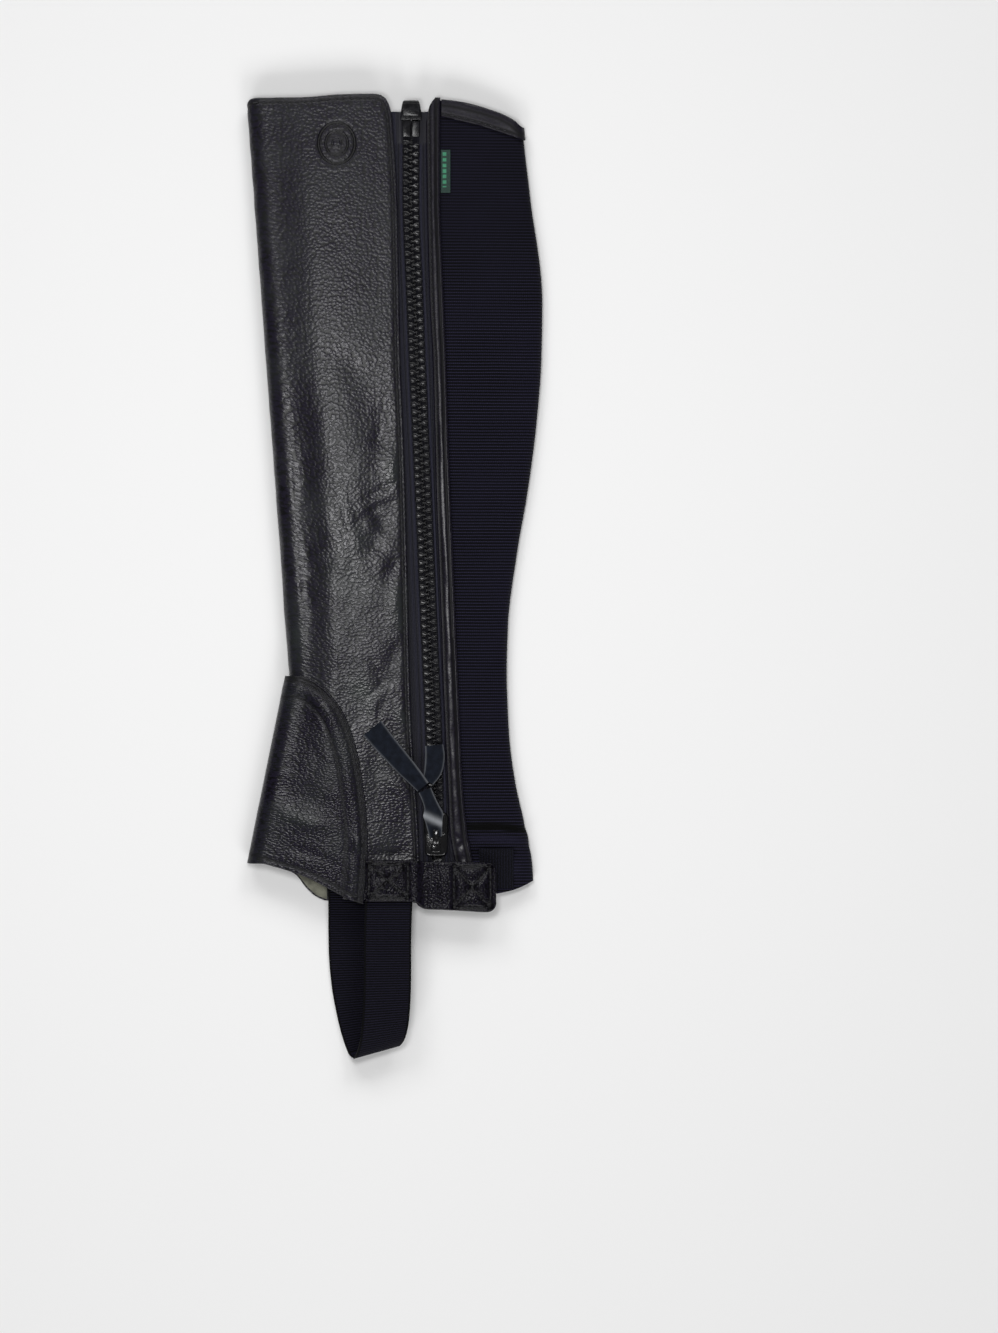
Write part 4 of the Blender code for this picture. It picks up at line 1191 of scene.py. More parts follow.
@known
def strap_elastic_finish(f, look):
    """The stirrup's webbing: fine hard cords across and flat edges."""
    u, v = f.cut_place()
    rib = f.wave(v + f.noise(f.place(u * 0.3, v), 3.0) * 0.25, look.rib * 0.8)
    fuzz = f.noise(f.place(u, v), 0.3, 3.0, 0.7)
    selvedge = f.ramp(f.maths("ABSOLUTE", u - 0.5 * STIRRUP_WIDE), 11.2, 11.7)
    raised = rib * (1 - selvedge * 0.7) + f.wave(u, 1.1) * 0.12
    # Painted light and shade: the cords are painted lighter and the gaps between them near black
    color = f.mix(f.ramp(raised, 0.2, 1.0), shaded(look.color, 0.05), shaded(look.color, 1.9))
    return f.surface(Base_Color=color, Roughness=0.62 + fuzz * 0.15, Specular_IOR_Level=0.09,
                     Normal=f.relief(raised * look.rib_depth * 0.9 + fuzz * 0.05))


@known
def zip_tape_finish(f, look):
    """Close woven tape, glossier where the film is welded on."""
    u, v = f.cut_place()
    film = f.attribute("film")
    rib, row = f.wave(u, 0.9), f.wave(v + f.wave(u, 0.9) * 0.4, 0.75)
    fuzz = f.noise(f.place(u, v), 0.3, 3.0, 0.7)
    woven = rib * 0.6 + row * 0.4
    color = f.mix(f.ramp(woven, 0.1, 0.9), shaded(look.tape, 0.3), shaded(look.tape, 1.4))
    # Painted highlight along the raised cord beside the teeth
    color = f.mix(f.attribute("cord"), color, shaded(look.tape, 2.8))
    color = f.mix(film, color, (0.017, 0.017, 0.022))
    return f.surface(Base_Color=color, Roughness=0.42 + fuzz * 0.2 - film * 0.16, Specular_IOR_Level=0.20,
                     Normal=f.relief((woven * 0.16 + fuzz * 0.05) * (1 - film * 0.7)))


@known
def touch_tape_finish(f, look):
    """Hook and loop tape: rows of short tufts."""
    u, v = f.cut_place()
    tufts = f.tufts(f.place(u * 0.55, v), 0.8)
    rows = f.wave(u, 1.5)
    raised = rows * 0.5 + f.ramp(tufts, 0.0, 0.6, 1.0, 0.0) * 0.6
    color = f.mix(f.ramp(raised, 0.2, 1.0), shaded(look.tape, 0.3), shaded(look.tape, 1.5))
    return f.surface(Base_Color=color, Roughness=0.85, Specular_IOR_Level=0.15,
                     Normal=f.relief(raised * 0.4))


@known
def moulded_plastic_finish(f, look):
    """Hard black plastic with a faint mould texture, rubbed paler in soft patches."""
    place = f.own_place()
    patch, fine = f.noise(place, 3.0, 3.0), f.noise(place, 0.25, 2.0)
    color = f.mix(f.ramp(patch, 0.35, 0.7), look.plastic, shaded(look.plastic, 2.4))
    return f.surface(Base_Color=color, Roughness=0.14 + patch * 0.18, Specular_IOR_Level=0.34,
                     Normal=f.relief(fine * 0.03 + patch * 0.10))


@known
def lacquer_finish(f, look):
    """Black lacquer over cast metal, softly uneven and worn paler in patches."""
    place = f.own_place()
    patch, fine = f.noise(place, 2.5, 3.0), f.noise(place, 0.3, 3.0)
    color = f.mix(f.ramp(patch, 0.62, 0.78), shaded(look.plastic, 0.7), (0.02, 0.02, 0.02))
    return f.surface(Base_Color=color, Roughness=0.09 + patch * 0.10, Metallic=0.0,
                     Coat_Weight=0.3, Normal=f.relief(fine * 0.02 + patch * 0.06))


@known
def thread_finish(f, look):
    """Waxed black thread, twisted."""
    place = f.own_place()
    x, y, z = f.split(place)
    twist = f.wave(x + y + z * 2.0, 0.5)
    color = f.mix(twist, shaded(look.color, 0.5), shaded(look.color, 1.6))
    return f.surface(Base_Color=color, Roughness=0.38 + f.noise(place, 1.0) * 0.2, Specular_IOR_Level=0.35,
                     Normal=f.relief(twist * 0.06))


@known
def pale_lining_finish(f, look):
    """Brushed beige-grey lining, darker in soft patches."""
    u, v = f.cut_place()
    fuzz, patch = f.noise(f.place(u * 2.0, v), 0.6, 4.0, 0.7), f.noise(f.place(u, v), 6.0, 3.0)
    color = f.mix(f.ramp(patch, 0.35, 0.65), shaded(look.lining, 0.35), look.lining)
    return f.surface(Base_Color=f.mix(fuzz * 0.5, color, shaded(look.lining, 1.2)), Roughness=0.95,
                     Sheen_Weight=0.3, Normal=f.relief(fuzz * 0.3 + patch * 0.2))


@known
def green_label_finish(f, look):
    """Woven label, dark green with one row of plain bright bars."""
    u, v = f.cut_place()
    rib, stripe = f.wave(v, 0.62), f.attribute("stripe")
    color = f.mix(stripe, look.label, look.stripe)
    color = f.mix(rib * 0.5, color, (0.0, 0.01, 0.008))
    return f.surface(Base_Color=color, Roughness=0.7, Sheen_Weight=0.15,
                     Normal=f.relief(rib * 0.12 + f.wave(u, 0.5) * 0.06))


@known
def floor_finish(f, look):
    """Matt pale board with a faint tooth."""
    place = f.own_place()
    broad, tooth = f.noise(place, 400.0, 2.0), f.noise(place, 0.8, 2.0)
    color = f.mix(broad * 0.3, look.floor, shaded(look.floor, 0.985))
    return f.surface(Base_Color=color, Roughness=0.9, Specular_IOR_Level=0.1,
                     Normal=f.relief(tooth * 0.01))


# Settings


COLOR = {"subtype": "COLOR", "size": 3, "min": 0, "max": 1}  # what every colour below has


class LeatherLook(bpy.types.PropertyGroup):
    """The leather pieces."""

    color: FloatVectorProperty(
        name="Colour", description="Body colour of the leather", **COLOR, default=(0.0086, 0.0068, 0.0150))
    bloom_and_sheen: FloatVectorProperty(
        # Greyer colour of the leather's broad patches, and of the sheen painted on it
        name="Bloom", description="Greyer colour where the leather is rubbed", **COLOR,
        default=(0.022, 0.026, 0.025))
    thong: FloatVectorProperty(
        name="Thong", description="Colour of the tied thong", **COLOR, default=(0.0040, 0.0054, 0.0092))
    lining: FloatVectorProperty(
        name="Lining", description="Colour of the toe's lining", **COLOR, default=(0.20, 0.20, 0.155))
    grain: FloatProperty(
        name="Grain", description="Size of a pebble of the grain in millimetres", default=1.6, min=0.3,
        max=6)
    depth: FloatProperty(
        name="Depth", description="Depth of the grain in millimetres", default=0.105, min=0, max=1)
    roughness: FloatProperty(
        name="Roughness", description="How matt the leather is", default=0.30, min=0, max=1,
        subtype="FACTOR")
    shine: FloatProperty(
        name="Shine", description="Strength of the leather's gloss", default=0.36, min=0, max=1,
        subtype="FACTOR")


class ElasticLook(bpy.types.PropertyGroup):
    """The elastic panel and the stirrup."""

    color: FloatVectorProperty(
        name="Colour", description="Colour of the elastic", **COLOR, default=(0.0045, 0.0041, 0.0095))
    rib: FloatProperty(
        name="Ribs", description="Distance from rib to rib in millimetres", default=1.63, min=0.5, max=6)
    rib_depth: FloatProperty(
        name="Rib depth", description="Depth of the ribs in millimetres", default=0.48, min=0, max=1)
    label: FloatVectorProperty(
        name="Label", description="Colour of the side label", **COLOR, default=(0.006, 0.036, 0.026))
    stripe: FloatVectorProperty(
        name="Stripe", description="Colour of the label's stripe", **COLOR, default=(0.05, 0.30, 0.16))


class ZipLook(bpy.types.PropertyGroup):
    """The zip."""

    pitch: FloatProperty(
        name="Tooth pitch", description="Distance from tooth to tooth on one side", default=4.2 * MM,
        min=1 * MM, max=10 * MM, subtype="DISTANCE", unit="LENGTH")
    plastic: FloatVectorProperty(
        name="Teeth", description="Colour of the teeth, the box and the slider", **COLOR,
        default=(0.0045, 0.0045, 0.0055))
    tape: FloatVectorProperty(
        name="Tape", description="Colour of the woven tapes", **COLOR, default=(0.0052, 0.0052, 0.0105))


class StitchLook(bpy.types.PropertyGroup):
    """The stitching."""

    pitch: FloatProperty(
        name="Stitch length", description="Distance from stitch to stitch in millimetres", default=4.2,
        min=1, max=10)
    thread: FloatProperty(
        name="Thread", description="Thickness of the thread in millimetres", default=0.85, min=0.2, max=2)
    color: FloatVectorProperty(
        name="Colour", description="Colour of the thread", **COLOR, default=(0.009, 0.009, 0.012))


class StageLook(bpy.types.PropertyGroup):
    """Floor and light."""

    floor: FloatVectorProperty(
        name="Floor", description="Colour of the floor", **COLOR, default=(0.87, 0.87, 0.87))
    key: FloatProperty(
        name="Softbox", description="Power of the softbox above", default=3.0, min=0, subtype="POWER",
        unit="POWER")
    side: FloatProperty(
        name="Side lights", description="Power of each of the four side lights", default=34.0, min=0,
        subtype="POWER", unit="POWER")
    sky: FloatProperty(
        name="Room light", description="Strength of the even light all round", default=0.12, min=0)


# Pieces


def rows_between(tops, bottoms, near_top, count, near_bottom=()):
    """Places down each column: dense below its top and above its bottom, then even."""
    top, bottom = np.asarray(tops, float), np.asarray(bottoms, float)
    near_top, near_bottom = np.asarray(near_top, float), np.asarray(near_bottom, float)
    first, last = top - near_top[-1], bottom + (near_bottom[-1] if len(near_bottom) else 0.0)
    parts = [top - d for d in near_top]
    parts += [first + (last - first) * t for t in np.linspace(0, 1, count + 1)[1:]]
    parts += [bottom + d for d in near_bottom[::-1][1:]]
    return np.stack(parts)


def settle(place, outline_upper, outline_under, is_upper, guess):
    """y at which each column meets the outline that crosses it."""
    y = np.full(len(is_upper), guess)
    for _ in range(6):
        x = place(y[None])[0][0]
        y = np.where(is_upper, across_y(outline_upper, x), across_y(outline_under, x))
    return y


def stitched(x, y, rows):
    """Where leather is pulled in along rows of stitches, 0 to 1, the mask by which shade is painted into the
    stitch channels. rows lists plan lines, each with how far its rows of stitches lie from it."""
    found = np.zeros(x.shape)
    for line, places in rows:
        away, _ = distance_to(x, y, line)
        for place in places:
            found = np.maximum(found, bump((away - place) / 0.9))
    return found


def under_relief(x, y, edges, seed):
    """Soft hollows of a side that lies on the ground, and the channels of its stitched edges."""
    relief = -0.14 * (1 + swell(x, y, 50.0, seed)) - 0.05 * (1 + swell(x, y, 15.0, seed + 1))
    for line, stitch_in in edges:
        away, _ = distance_to(x, y, line)
        relief -= 0.55 * bump((away - stitch_in) / 0.9)
        relief += rounded(away, 0.7)
    return relief


def under_face(x, y):
    """Bottom of the stitched channels of the side that lies on the ground."""
    return np.full(x.shape, 0.55)


def inner_seam_line():
    """Edge of the shaft at the seam on the inner side."""
    return line_down("back", np.arange(240.0, -166.0, -3.0), -ELASTIC_UNDER - GAP)


def two_sided(form, upper, upper_relief, under, edges, seed, creases=()):
    """Relief of a piece that goes round a fold, on its upper and its under columns. The under side, which
    lies on the ground, has only hollows."""
    x, y = form[..., 0], form[..., 1]
    relief = np.zeros(x.shape)
    relief[:, upper] = upper_relief(x[:, upper], y[:, upper])
    low = under_relief(x[:, under], y[:, under], edges, seed)
    relief[:, under] = np.minimum(low - np.abs(creased(x[:, under], y[:, under], creases, seed + 4)), 0.0)
    return relief


def ease_fold(relief, first, last):
    """Eases the relief round a fold, from the column before it to the one after, and gives each column's
    share of the way."""
    share = np.linspace(0, 1, last - first + 2)[1:-1]
    before, after = relief[:, first - 1:first], relief[:, last:last + 1]
    relief[:, first:last] = before * (1 - share) ** 2 + after * share ** 2
    return share


def make_shaft(look):
    """The shaft, cut away where the toe piece laps over it and where it meets it edge to edge below."""
    seam = flowing(TOE_SEAM, 1.5)
    upper, under = offsets(EDGE_COLUMNS, 54), offsets(UNDER_EDGE, 34)
    under = tuple(part[::-1] for part in under)
    is_upper = np.arange(len(upper[0]) + len(FOLD_ANGLES) + len(under[0])) < len(upper[0]) + 9

    def place(y):
        return front_form(
            y, lambda at: straight(SHAFT_FRONT, at), lambda at: station("edge", at),
            lambda at: station("back", at) - ELASTIC_UNDER - GAP, LAP, upper, FOLD_ANGLES, under)

    tops = settle(place, SHAFT_TOP, INNER_TOP, is_upper, 250.0)
    ends = settle(place, ((-90.0, SHAFT_HEM_Y), (90.0, SHAFT_HEM_Y)), HEM_INNER, is_upper, -170.0)
    y = rows_between(tops, ends, TOP_ROWS, 320, SHAFT_HEM_ROWS)
    x, z = place(y)
    form = np.stack([x, y, z], -1)
    middle = 0.25 * (form[:-1, :-1] + form[1:, :-1] + form[:-1, 1:] + form[1:, 1:])
    outside_x, outside_y = -110.0, -200.0

    def beyond(line):
        corners = [(line[-1, 0], outside_y), (outside_x, outside_y)]
        ring = np.vstack([[(outside_x, line[0, 1])], line, corners])
        return inside(middle[..., 0], middle[..., 1], ring)

    lap, butt = shifted(seam, -TOE_LAP), shifted(seam, GAP)
    removed = np.where(middle[..., 2] > 5.0, beyond(lap), beyond(butt))
    form = trimmed(form, removed, flowing(butt, 0.3))
    x, y = form[..., 0], form[..., 1]
    first = len(upper[0])  # the fold's columns
    last = first + len(FOLD_ANGLES)
    edges = (
        (inner_seam_line(), INNER_SEAM_SEWN), (butt, UNDER_TOE_SEWN),
        (flowing(INNER_TOP, 3.0), HEM_SEWN), (flowing(HEM_INNER, 3.0), HEM_SEWN),
    )
    relief = two_sided(form, slice(first), shaft_relief, slice(last, None), edges, 21, INNER_CREASES)
    share = ease_fold(relief, first, last)
    uneven = swell(x[:, first:last] * 3, y[:, first:last], 20.0, 22)
    relief[:, first:last] += 0.10 * uneven * np.sin(math.pi * share)
    front = x - straight(SHAFT_FRONT, y)
    pull = clamped(1.25 - front / 22.0) * clamped((270.0 - y) / 60.0) * (x < 0)
    # Strength of the grey sheen painted along the listed sheen lines
    rub = creased(x, y, PAINTED_SHEEN_LINES, 81)
    # Shade painted into the stitch channels and the medallion's pressed rings
    painted_channel_shade = stitched(x, y, [(edge_line(), [SHAFT_SEWN])]) + 0.8 * medallion(x, y)
    painted_channel_shade[:, last:] = stitched(x[:, last:], y[:, last:], [(line, [place]) for line, place in edges])
    matt = 0.14 * clamped((y - 110.0) / 70.0) - 0.16 * clamped((-40.0 - y) / 60.0)
    mesh = shell("shaft", form, relief, LEATHER, {
        "seam": clamped(painted_channel_shade), "drawn": drawn(form, pull), "rub": clamped(rub), "matt": matt,
    }, ~removed)
    piece = shown("shaft_leather", mesh, grained_leather_finish(look), ["shaft_panel"])
    declare(form, ~removed)


def toe_form():
    """Grid of the toe piece, from its seam over the top, round the front fold and back to the seam, and
    where the fold's columns begin and end."""
    seam = flowing(TOE_SEAM, 0.8)
    seam = seam[seam[:, 0] > TOE_FRONT[0][1] + FRONT_FOLD]
    rows = spaced(seam, 1.35)
    rows[0] = (TOE_FRONT[0][1] + FRONT_FOLD + 0.2, rows[0, 1])
    last, top_y = rows[-1, 1], rows[0, 1]
    ends = (last + TOE_HEM_ROWS)[::-1]
    keep = rows[:, 1] > ends[0] + 1.0
    rows = np.vstack([rows[keep], np.column_stack([np.interp(ends, rows[::-1, 1], rows[::-1, 0]), ends])])
    left_y = top_y + (rows[:, 1] - top_y) * (TOE_HEM_TURN - top_y) / (last - top_y)
    right_x, right_y = rows[:, :1], rows[:, 1:]
    turn_y = left_y[:, None]
    turn_x = straight(TOE_FRONT, turn_y) + FRONT_FOLD
    share_down = clamped((right_y - top_y) / (last - top_y))

    def half(columns, hem):
        width = right_x - turn_x
        t = placed(width, columns) / width
        x = right_x + (turn_x - right_x) * t
        y = right_y + (turn_y - right_y) * t
        bow = across_y(hem, x[-1]) - y[-1]
        return x, y + bow * share_down ** 4

    upper, under = offsets(EDGE_COLUMNS, 32), offsets(UNDER_EDGE, 22)
    xu, yu = half(upper, TOE_HEM)
    xd, yd = half(under, TOE_HEM_INNER)
    yf = np.linspace(yu[:, -1], yd[:, -1], len(FOLD_ANGLES) + 2, axis=1)[:, 1:-1]
    turn = straight(TOE_FRONT, yf) + FRONT_FOLD
    top = height(turn, yf) + 2 * LAP
    xf, zf = turn - FRONT_FOLD * np.cos(FOLD_ANGLES), 0.5 * top * (1 + np.sin(FOLD_ANGLES))
    zu = height(xu, yu) + 2 * LAP
    grid = [np.concatenate([a, b, c[:, ::-1]], 1) for a, b, c in (
        (xu, xf, xd), (yu, yf, yd), (zu, zf, np.zeros_like(xd)))]
    return np.stack(grid, -1), xu.shape[1], xu.shape[1] + len(FOLD_ANGLES)


def make_toe(look):
    """The toe piece, and the corner of its lining that shows below the hem."""
    form, first, last = toe_form()
    x, y = form[..., 0], form[..., 1]
    edges = ((flowing(TOE_SEAM, 1.5), UNDER_TOE_SEWN), (flowing(TOE_HEM_INNER, 1.5), HEM_SEWN))
    relief = two_sided(form, slice(first), toe_relief, slice(last, None), edges, 23)
    ease_fold(relief, first, last)
    front = x - straight(TOE_FRONT, y)
    pull = 0.75 * clamped(1.3 - front / 26.0) + 0.2
    rows = [(flowing(TOE_SEAM, 1.5), TOE_SEWN), (flowing(TOE_HEM, 1.5), [HEM_SEWN])]
    # The sheen mask paints a grey sheen along the listed sheen lines; the seam mask paints shade into the
    # stitch channels
    mesh = shell("toe", form, relief, LEATHER, {
        "drawn": drawn(form, pull, 1.2), "rub": clamped(creased(x, y, PAINTED_SHEEN_LINES, 81)),
        "seam": stitched(x, y, rows), "matt": -0.14,
    })
    piece = shown("toe_leather", mesh, toe_leather_finish(look), ["toe_piece"])
    declare(form)
    low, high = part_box("toe_lining")
    ring = np.array(LINING_OUTLINE)[::-1]
    ring = spaced(np.vstack([ring, ring[:1]]), 1.6)[:-1]
    points, faces = softened(ring, low.z / MM, high.z / MM, 0.3, 2)
    mesh = joined("lining", [(points, faces)])
    paint(mesh, "lie", points)
    piece = shown("toe_lining_cloth", mesh, pale_lining_finish(look), ["toe_lining"])


def split_half(y):
    """Half of the gap between the tapes: closed above the slider and spread below it."""
    return eased((-180.0, -150.0, -130.0, -118.0, 260.0), (2.6, 2.6, 2.2, 0.5, 0.5), y)


def make_tapes(look):
    """The two woven tapes, from beside the teeth to under the leather."""
    down = np.linspace(TAPE_TOP, TAPE_END, 260)[:, None]
    middle, half = station("zip", down), split_half(down)
    join = 0.5 * (station("strip", down) + station("strip_end", down)) - 0.5 * GAP
    share = np.linspace(0, 1, 22)
    near, outer = middle - half, station("edge", down) - TAPE_UNDER
    sides = (
        ("front", near + (outer - near) * share, "shaft_leather"),
        ("back", join + (middle + half - join) * share, "strip_leather"),
    )
    for side, x, under in sides:
        y = np.broadcast_to(down, x.shape)
        form = np.stack([x, y, height(x, y)], -1)
        away = np.abs(x - middle)
        film = ((y > 229.4) & (away > 4.4) & (away < 8.0)).astype(float)
        # Mask for a highlight painted along the raised cord
        cord = clamped(tape_relief(x, y) / 0.32) * (1 - film)
        mesh = shell(f"tape_{side}", form, tape_relief(x, y), TAPE, {"film": film, "cord": cord})
        piece = shown(f"zip_tape_{side}_woven", mesh, zip_tape_finish(look),
                      [f"zip_tape_{side}"])
        declare(form)


def make_teeth(look):
    """Every tooth as one piece."""
    half = np.array(TOOTH)
    outline = np.vstack([half, (half * (1, -1))[-2:0:-1]])[::-1]
    shape = np.concatenate([
        np.column_stack([turned_in(outline, inset), np.full(len(outline), z)]) for z, inset in TOOTH_RINGS])
    pitch = look.pitch / MM
    places = []
    for side, first in ((1.0, FIRST_TOOTH), (-1.0, FIRST_TOOTH - 0.5 * pitch)):
        y = np.arange(first, CHAIN_END + 1.0, -pitch)
        x = station("zip", y)
        along = np.stack([station("zip", y + 1) - station("zip", y - 1), np.full(len(y), 2.0),
                          height(x, y + 1) - height(x, y - 1)], 1)
        along /= np.linalg.norm(along, axis=1)[:, None]
        out = np.tile((0.0, 0.0, 1.0), (len(y), 1))
        across = np.cross(along, out) * side
        rng = np.random.default_rng(90 + int(side))
        tilt = rng.normal(0, 0.035, (len(y), 1))
        out = out + across * tilt + along * rng.normal(0, 0.03, (len(y), 1))
        origin = np.column_stack([x, y, height(x, y) + 0.02])
        places.append(np.stack([origin, across, along * side, out], 1))
    mesh = copies("teeth", shape, tube_faces(len(TOOTH_RINGS), len(outline)), np.concatenate(places))
    shown("zip_teeth", mesh, moulded_plastic_finish(look), ["zip_chain"])


def make_zip_box(look):
    """The moulded box at the top of the zip with its fixed pin, and the loose pin that stands in it."""
    box_low, box_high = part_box("zip_box")
    middle, low, high = station("zip", TAPE_TOP), box_low.z / MM, box_high.z / MM
    foot_y, top_y = 241.4, box_high.y / MM
    side = [(5.55, foot_y), (5.7, foot_y + 0.9), (5.45, 245.0), (5.2, 247.2), (4.75, 249.6), (4.3, 251.2),
            (3.6, top_y)]
    outline = np.array([(middle + a, b) for a, b in side] + [(middle - a, b) for a, b in side[::-1]])
    deck = rounded_box((middle - 4.6, middle + 4.6, 243.4, 250.6), 1.2)
    pin_low, pin_high = low + 0.6, low + 2.6
    pins = [
        rounded_box((middle + s * 2.4 - 2.1, middle + s * 2.4 + 2.1, 232.3, 241.9), 0.6) for s in (-1, 1)]
    lip = rounded_box((middle - 5.4, middle + 5.4, foot_y - 0.05, foot_y + 1.2), 0.5)
    shapes = [
        softened(outline, low, high - 0.5, 0.8), softened(deck, high - 1.2, high - 0.1, 0.5),
        softened(lip, high - 1.2, high + 0.1, 0.4), softened(pins[0], pin_low, pin_high, 0.5),
    ]
    shown("zip_box_moulded", joined("box", shapes), moulded_plastic_finish(look),
          ["zip_box"])
    pin = pins[1].copy()
    pin[:, 1] = np.minimum(pin[:, 1], foot_y - 0.3)
    shown("zip_pin_moulded", joined("pin", [softened(pin, pin_low, pin_high, 0.5)]),
          moulded_plastic_finish(look), ["zip_start_pin"])


def make_slider(look):
    """Slider with its cover and bridge above the tapes, its plate below them and its post between."""
    low, high = (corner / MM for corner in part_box("zip_slider"))
    top, foot = high.y, low.y
    x = station("zip", 0.5 * (top + foot))
    half = 0.5 * (high.x - low.x)
    base = max(float(height(x + side, top)) for side in (-half, 0.0, half)) + GAP
    under = low.z + 1.2
    body = rounded_box((x - half, x + half, foot, top), 3.4, 6)
    waist = 1.0 - 0.13 * bump((body[:, 1] - (foot + 7.0)) / 5.0)
    body[:, 0] = x + (body[:, 0] - x) * waist
    cover = rounded_box((x - half + 0.5, x + half - 0.5, top - 12.8, top - 0.4), 2.8, 6)
    crown = rounded_box((x - half + 1.7, x + half - 1.7, top - 11.8, top - 1.4), 2.2, 6)
    tail = rounded_box((x - 2.6, x + 2.6, foot + 1.8, foot + 7.0), 1.6, 6)
    plate = rounded_box((x - 4.6, x + 4.6, top - 17.0, top - 2.0), 2.0, 4)
    post = rounded_box((x - 1.2, x + 1.2, top - 13.0, top - 9.0), 0.6, 3)
    shapes = [
        softened(body, base, base + 2.6, 1.1), softened(cover, base + 2.2, base + 3.2, 0.9),
        softened(crown, base + 2.9, base + 3.6, 0.6), softened(tail, base + 2.2, base + 3.4, 0.8),
        softened(plate, under - 1.2, under, 0.3), softened(post, under - 0.6, base + 1.8, 0.2),
    ]
    # the bridge, as a side outline (y, z) spread across
    rise = high.z - 1.4
    arch = np.array([
        (top - 17.6, base + 2.4), (top - 14.6, base + 2.4), (top - 14.7, rise - 0.2), (top - 9.5, rise),
        (top - 9.5, high.z - 0.3), (top - 10.2, high.z), (top - 16.4, high.z), (top - 17.6, high.z - 1.2),
    ])
    points, faces = softened(arch, x - 1.6, x + 1.6, 0.35, 2)
    shapes.append((points[:, [2, 0, 1]], faces))
    shown("zip_slider_lacquered", joined("slider", shapes), lacquer_finish(look),
          ["zip_slider"])


def make_strip(look):
    """The narrow strip between zip and elastic."""
    down = np.concatenate([np.linspace(STRIP_TOP, 240.0, 12), np.linspace(238.6, STRIP_END, 300)])[:, None]
    left, right = station("strip", down), station("strip_end", down)
    left = left + eased((240.0, 249.0, STRIP_TOP), (0.0, 2.0, 5.0), down)
    near_edge = np.array((0.0, 0.02, 0.05, 0.09, 0.14, 0.20, 0.26))
    share = np.concatenate([near_edge, np.linspace(0.32, 0.68, 8), 1 - near_edge[::-1]])[::-1]
    x = left + (right - left) * share
    y = np.broadcast_to(down, x.shape)
    form = np.stack([x, y, height(x, y) + LAP], -1)
    ends = rounded(STRIP_TOP - y, 0.5) + rounded(y - STRIP_END, 0.5)
    rows = [
        (line_down("strip", down), [LEFT_STRIP_SEWN]),
        (line_down("strip_end", down), [RIGHT_STRIP_SEWN]),
    ]
    # The seam mask paints shade into the stitch channels
    mesh = shell("strip", form, strip_relief(x, y) + ends, LEATHER, {
        "matt": 0.25 * clamped((y - 60.0) / 60.0), "seam": stitched(x, y, rows)})
    piece = shown("strip_leather", mesh, smooth_leather_finish(look), ["back_strip"])
    declare(form, turned=2.0)


def back_form(y, lift, start, shares, angles, under):
    """Places across and heights round the back fold, columns from the strip's middle to the inner seam."""
    nu, nf = len(shares), len(angles)
    yu, yf, yd = y[..., :nu], y[..., nu:nu + nf], y[..., nu + nf:]
    near = 0.5 * (station("strip", yu) + station("strip_end", yu)) + 0.5 * GAP
    turn = station("back", yu) - BACK_FOLD
    xu = near + (turn - near) * (start + (1 - start) * shares)
    zu = height(xu, yu) + lift
    turn = station("back", yf) - BACK_FOLD
    top = height(turn, yf) + lift
    xf, zf = turn + (BACK_FOLD + 0.6 * lift) * np.cos(angles), 0.5 * top * (1 + np.sin(angles))
    turn = station("back", yd) - BACK_FOLD
    xd = turn - (ELASTIC_UNDER - BACK_FOLD) * under
    return np.concatenate([xu, xf, xd], -1), np.concatenate([zu, zf, np.zeros_like(xd)], -1)


def back_piece(tops, lows, lift, start, counts, near):
    """Form grid of a piece round the back fold, and where the fold's columns begin and end."""
    shares, under = np.linspace(0, 1, counts[0]), np.linspace(0, 1, counts[1])
    is_upper = np.arange(counts[0] + len(BACK_ANGLES) + counts[1]) < counts[0] + 6

    def place(y):
        return back_form(y, lift, start, shares, BACK_ANGLES, under)

    upper_end = settle(place, tops[0], tops[1], is_upper, 240.0)
    lower_end = settle(place, lows[0], lows[1], is_upper, -165.0 if counts[2] > 30 else 235.0)
    y = rows_between(upper_end, lower_end, near, counts[2], near)
    x, z = place(y)
    return np.stack([x, y, z], -1)[:, ::-1], counts[1], counts[1] + len(BACK_ANGLES)


def lowered(outline, by):
    return tuple((x, y - by) for x, y in outline)


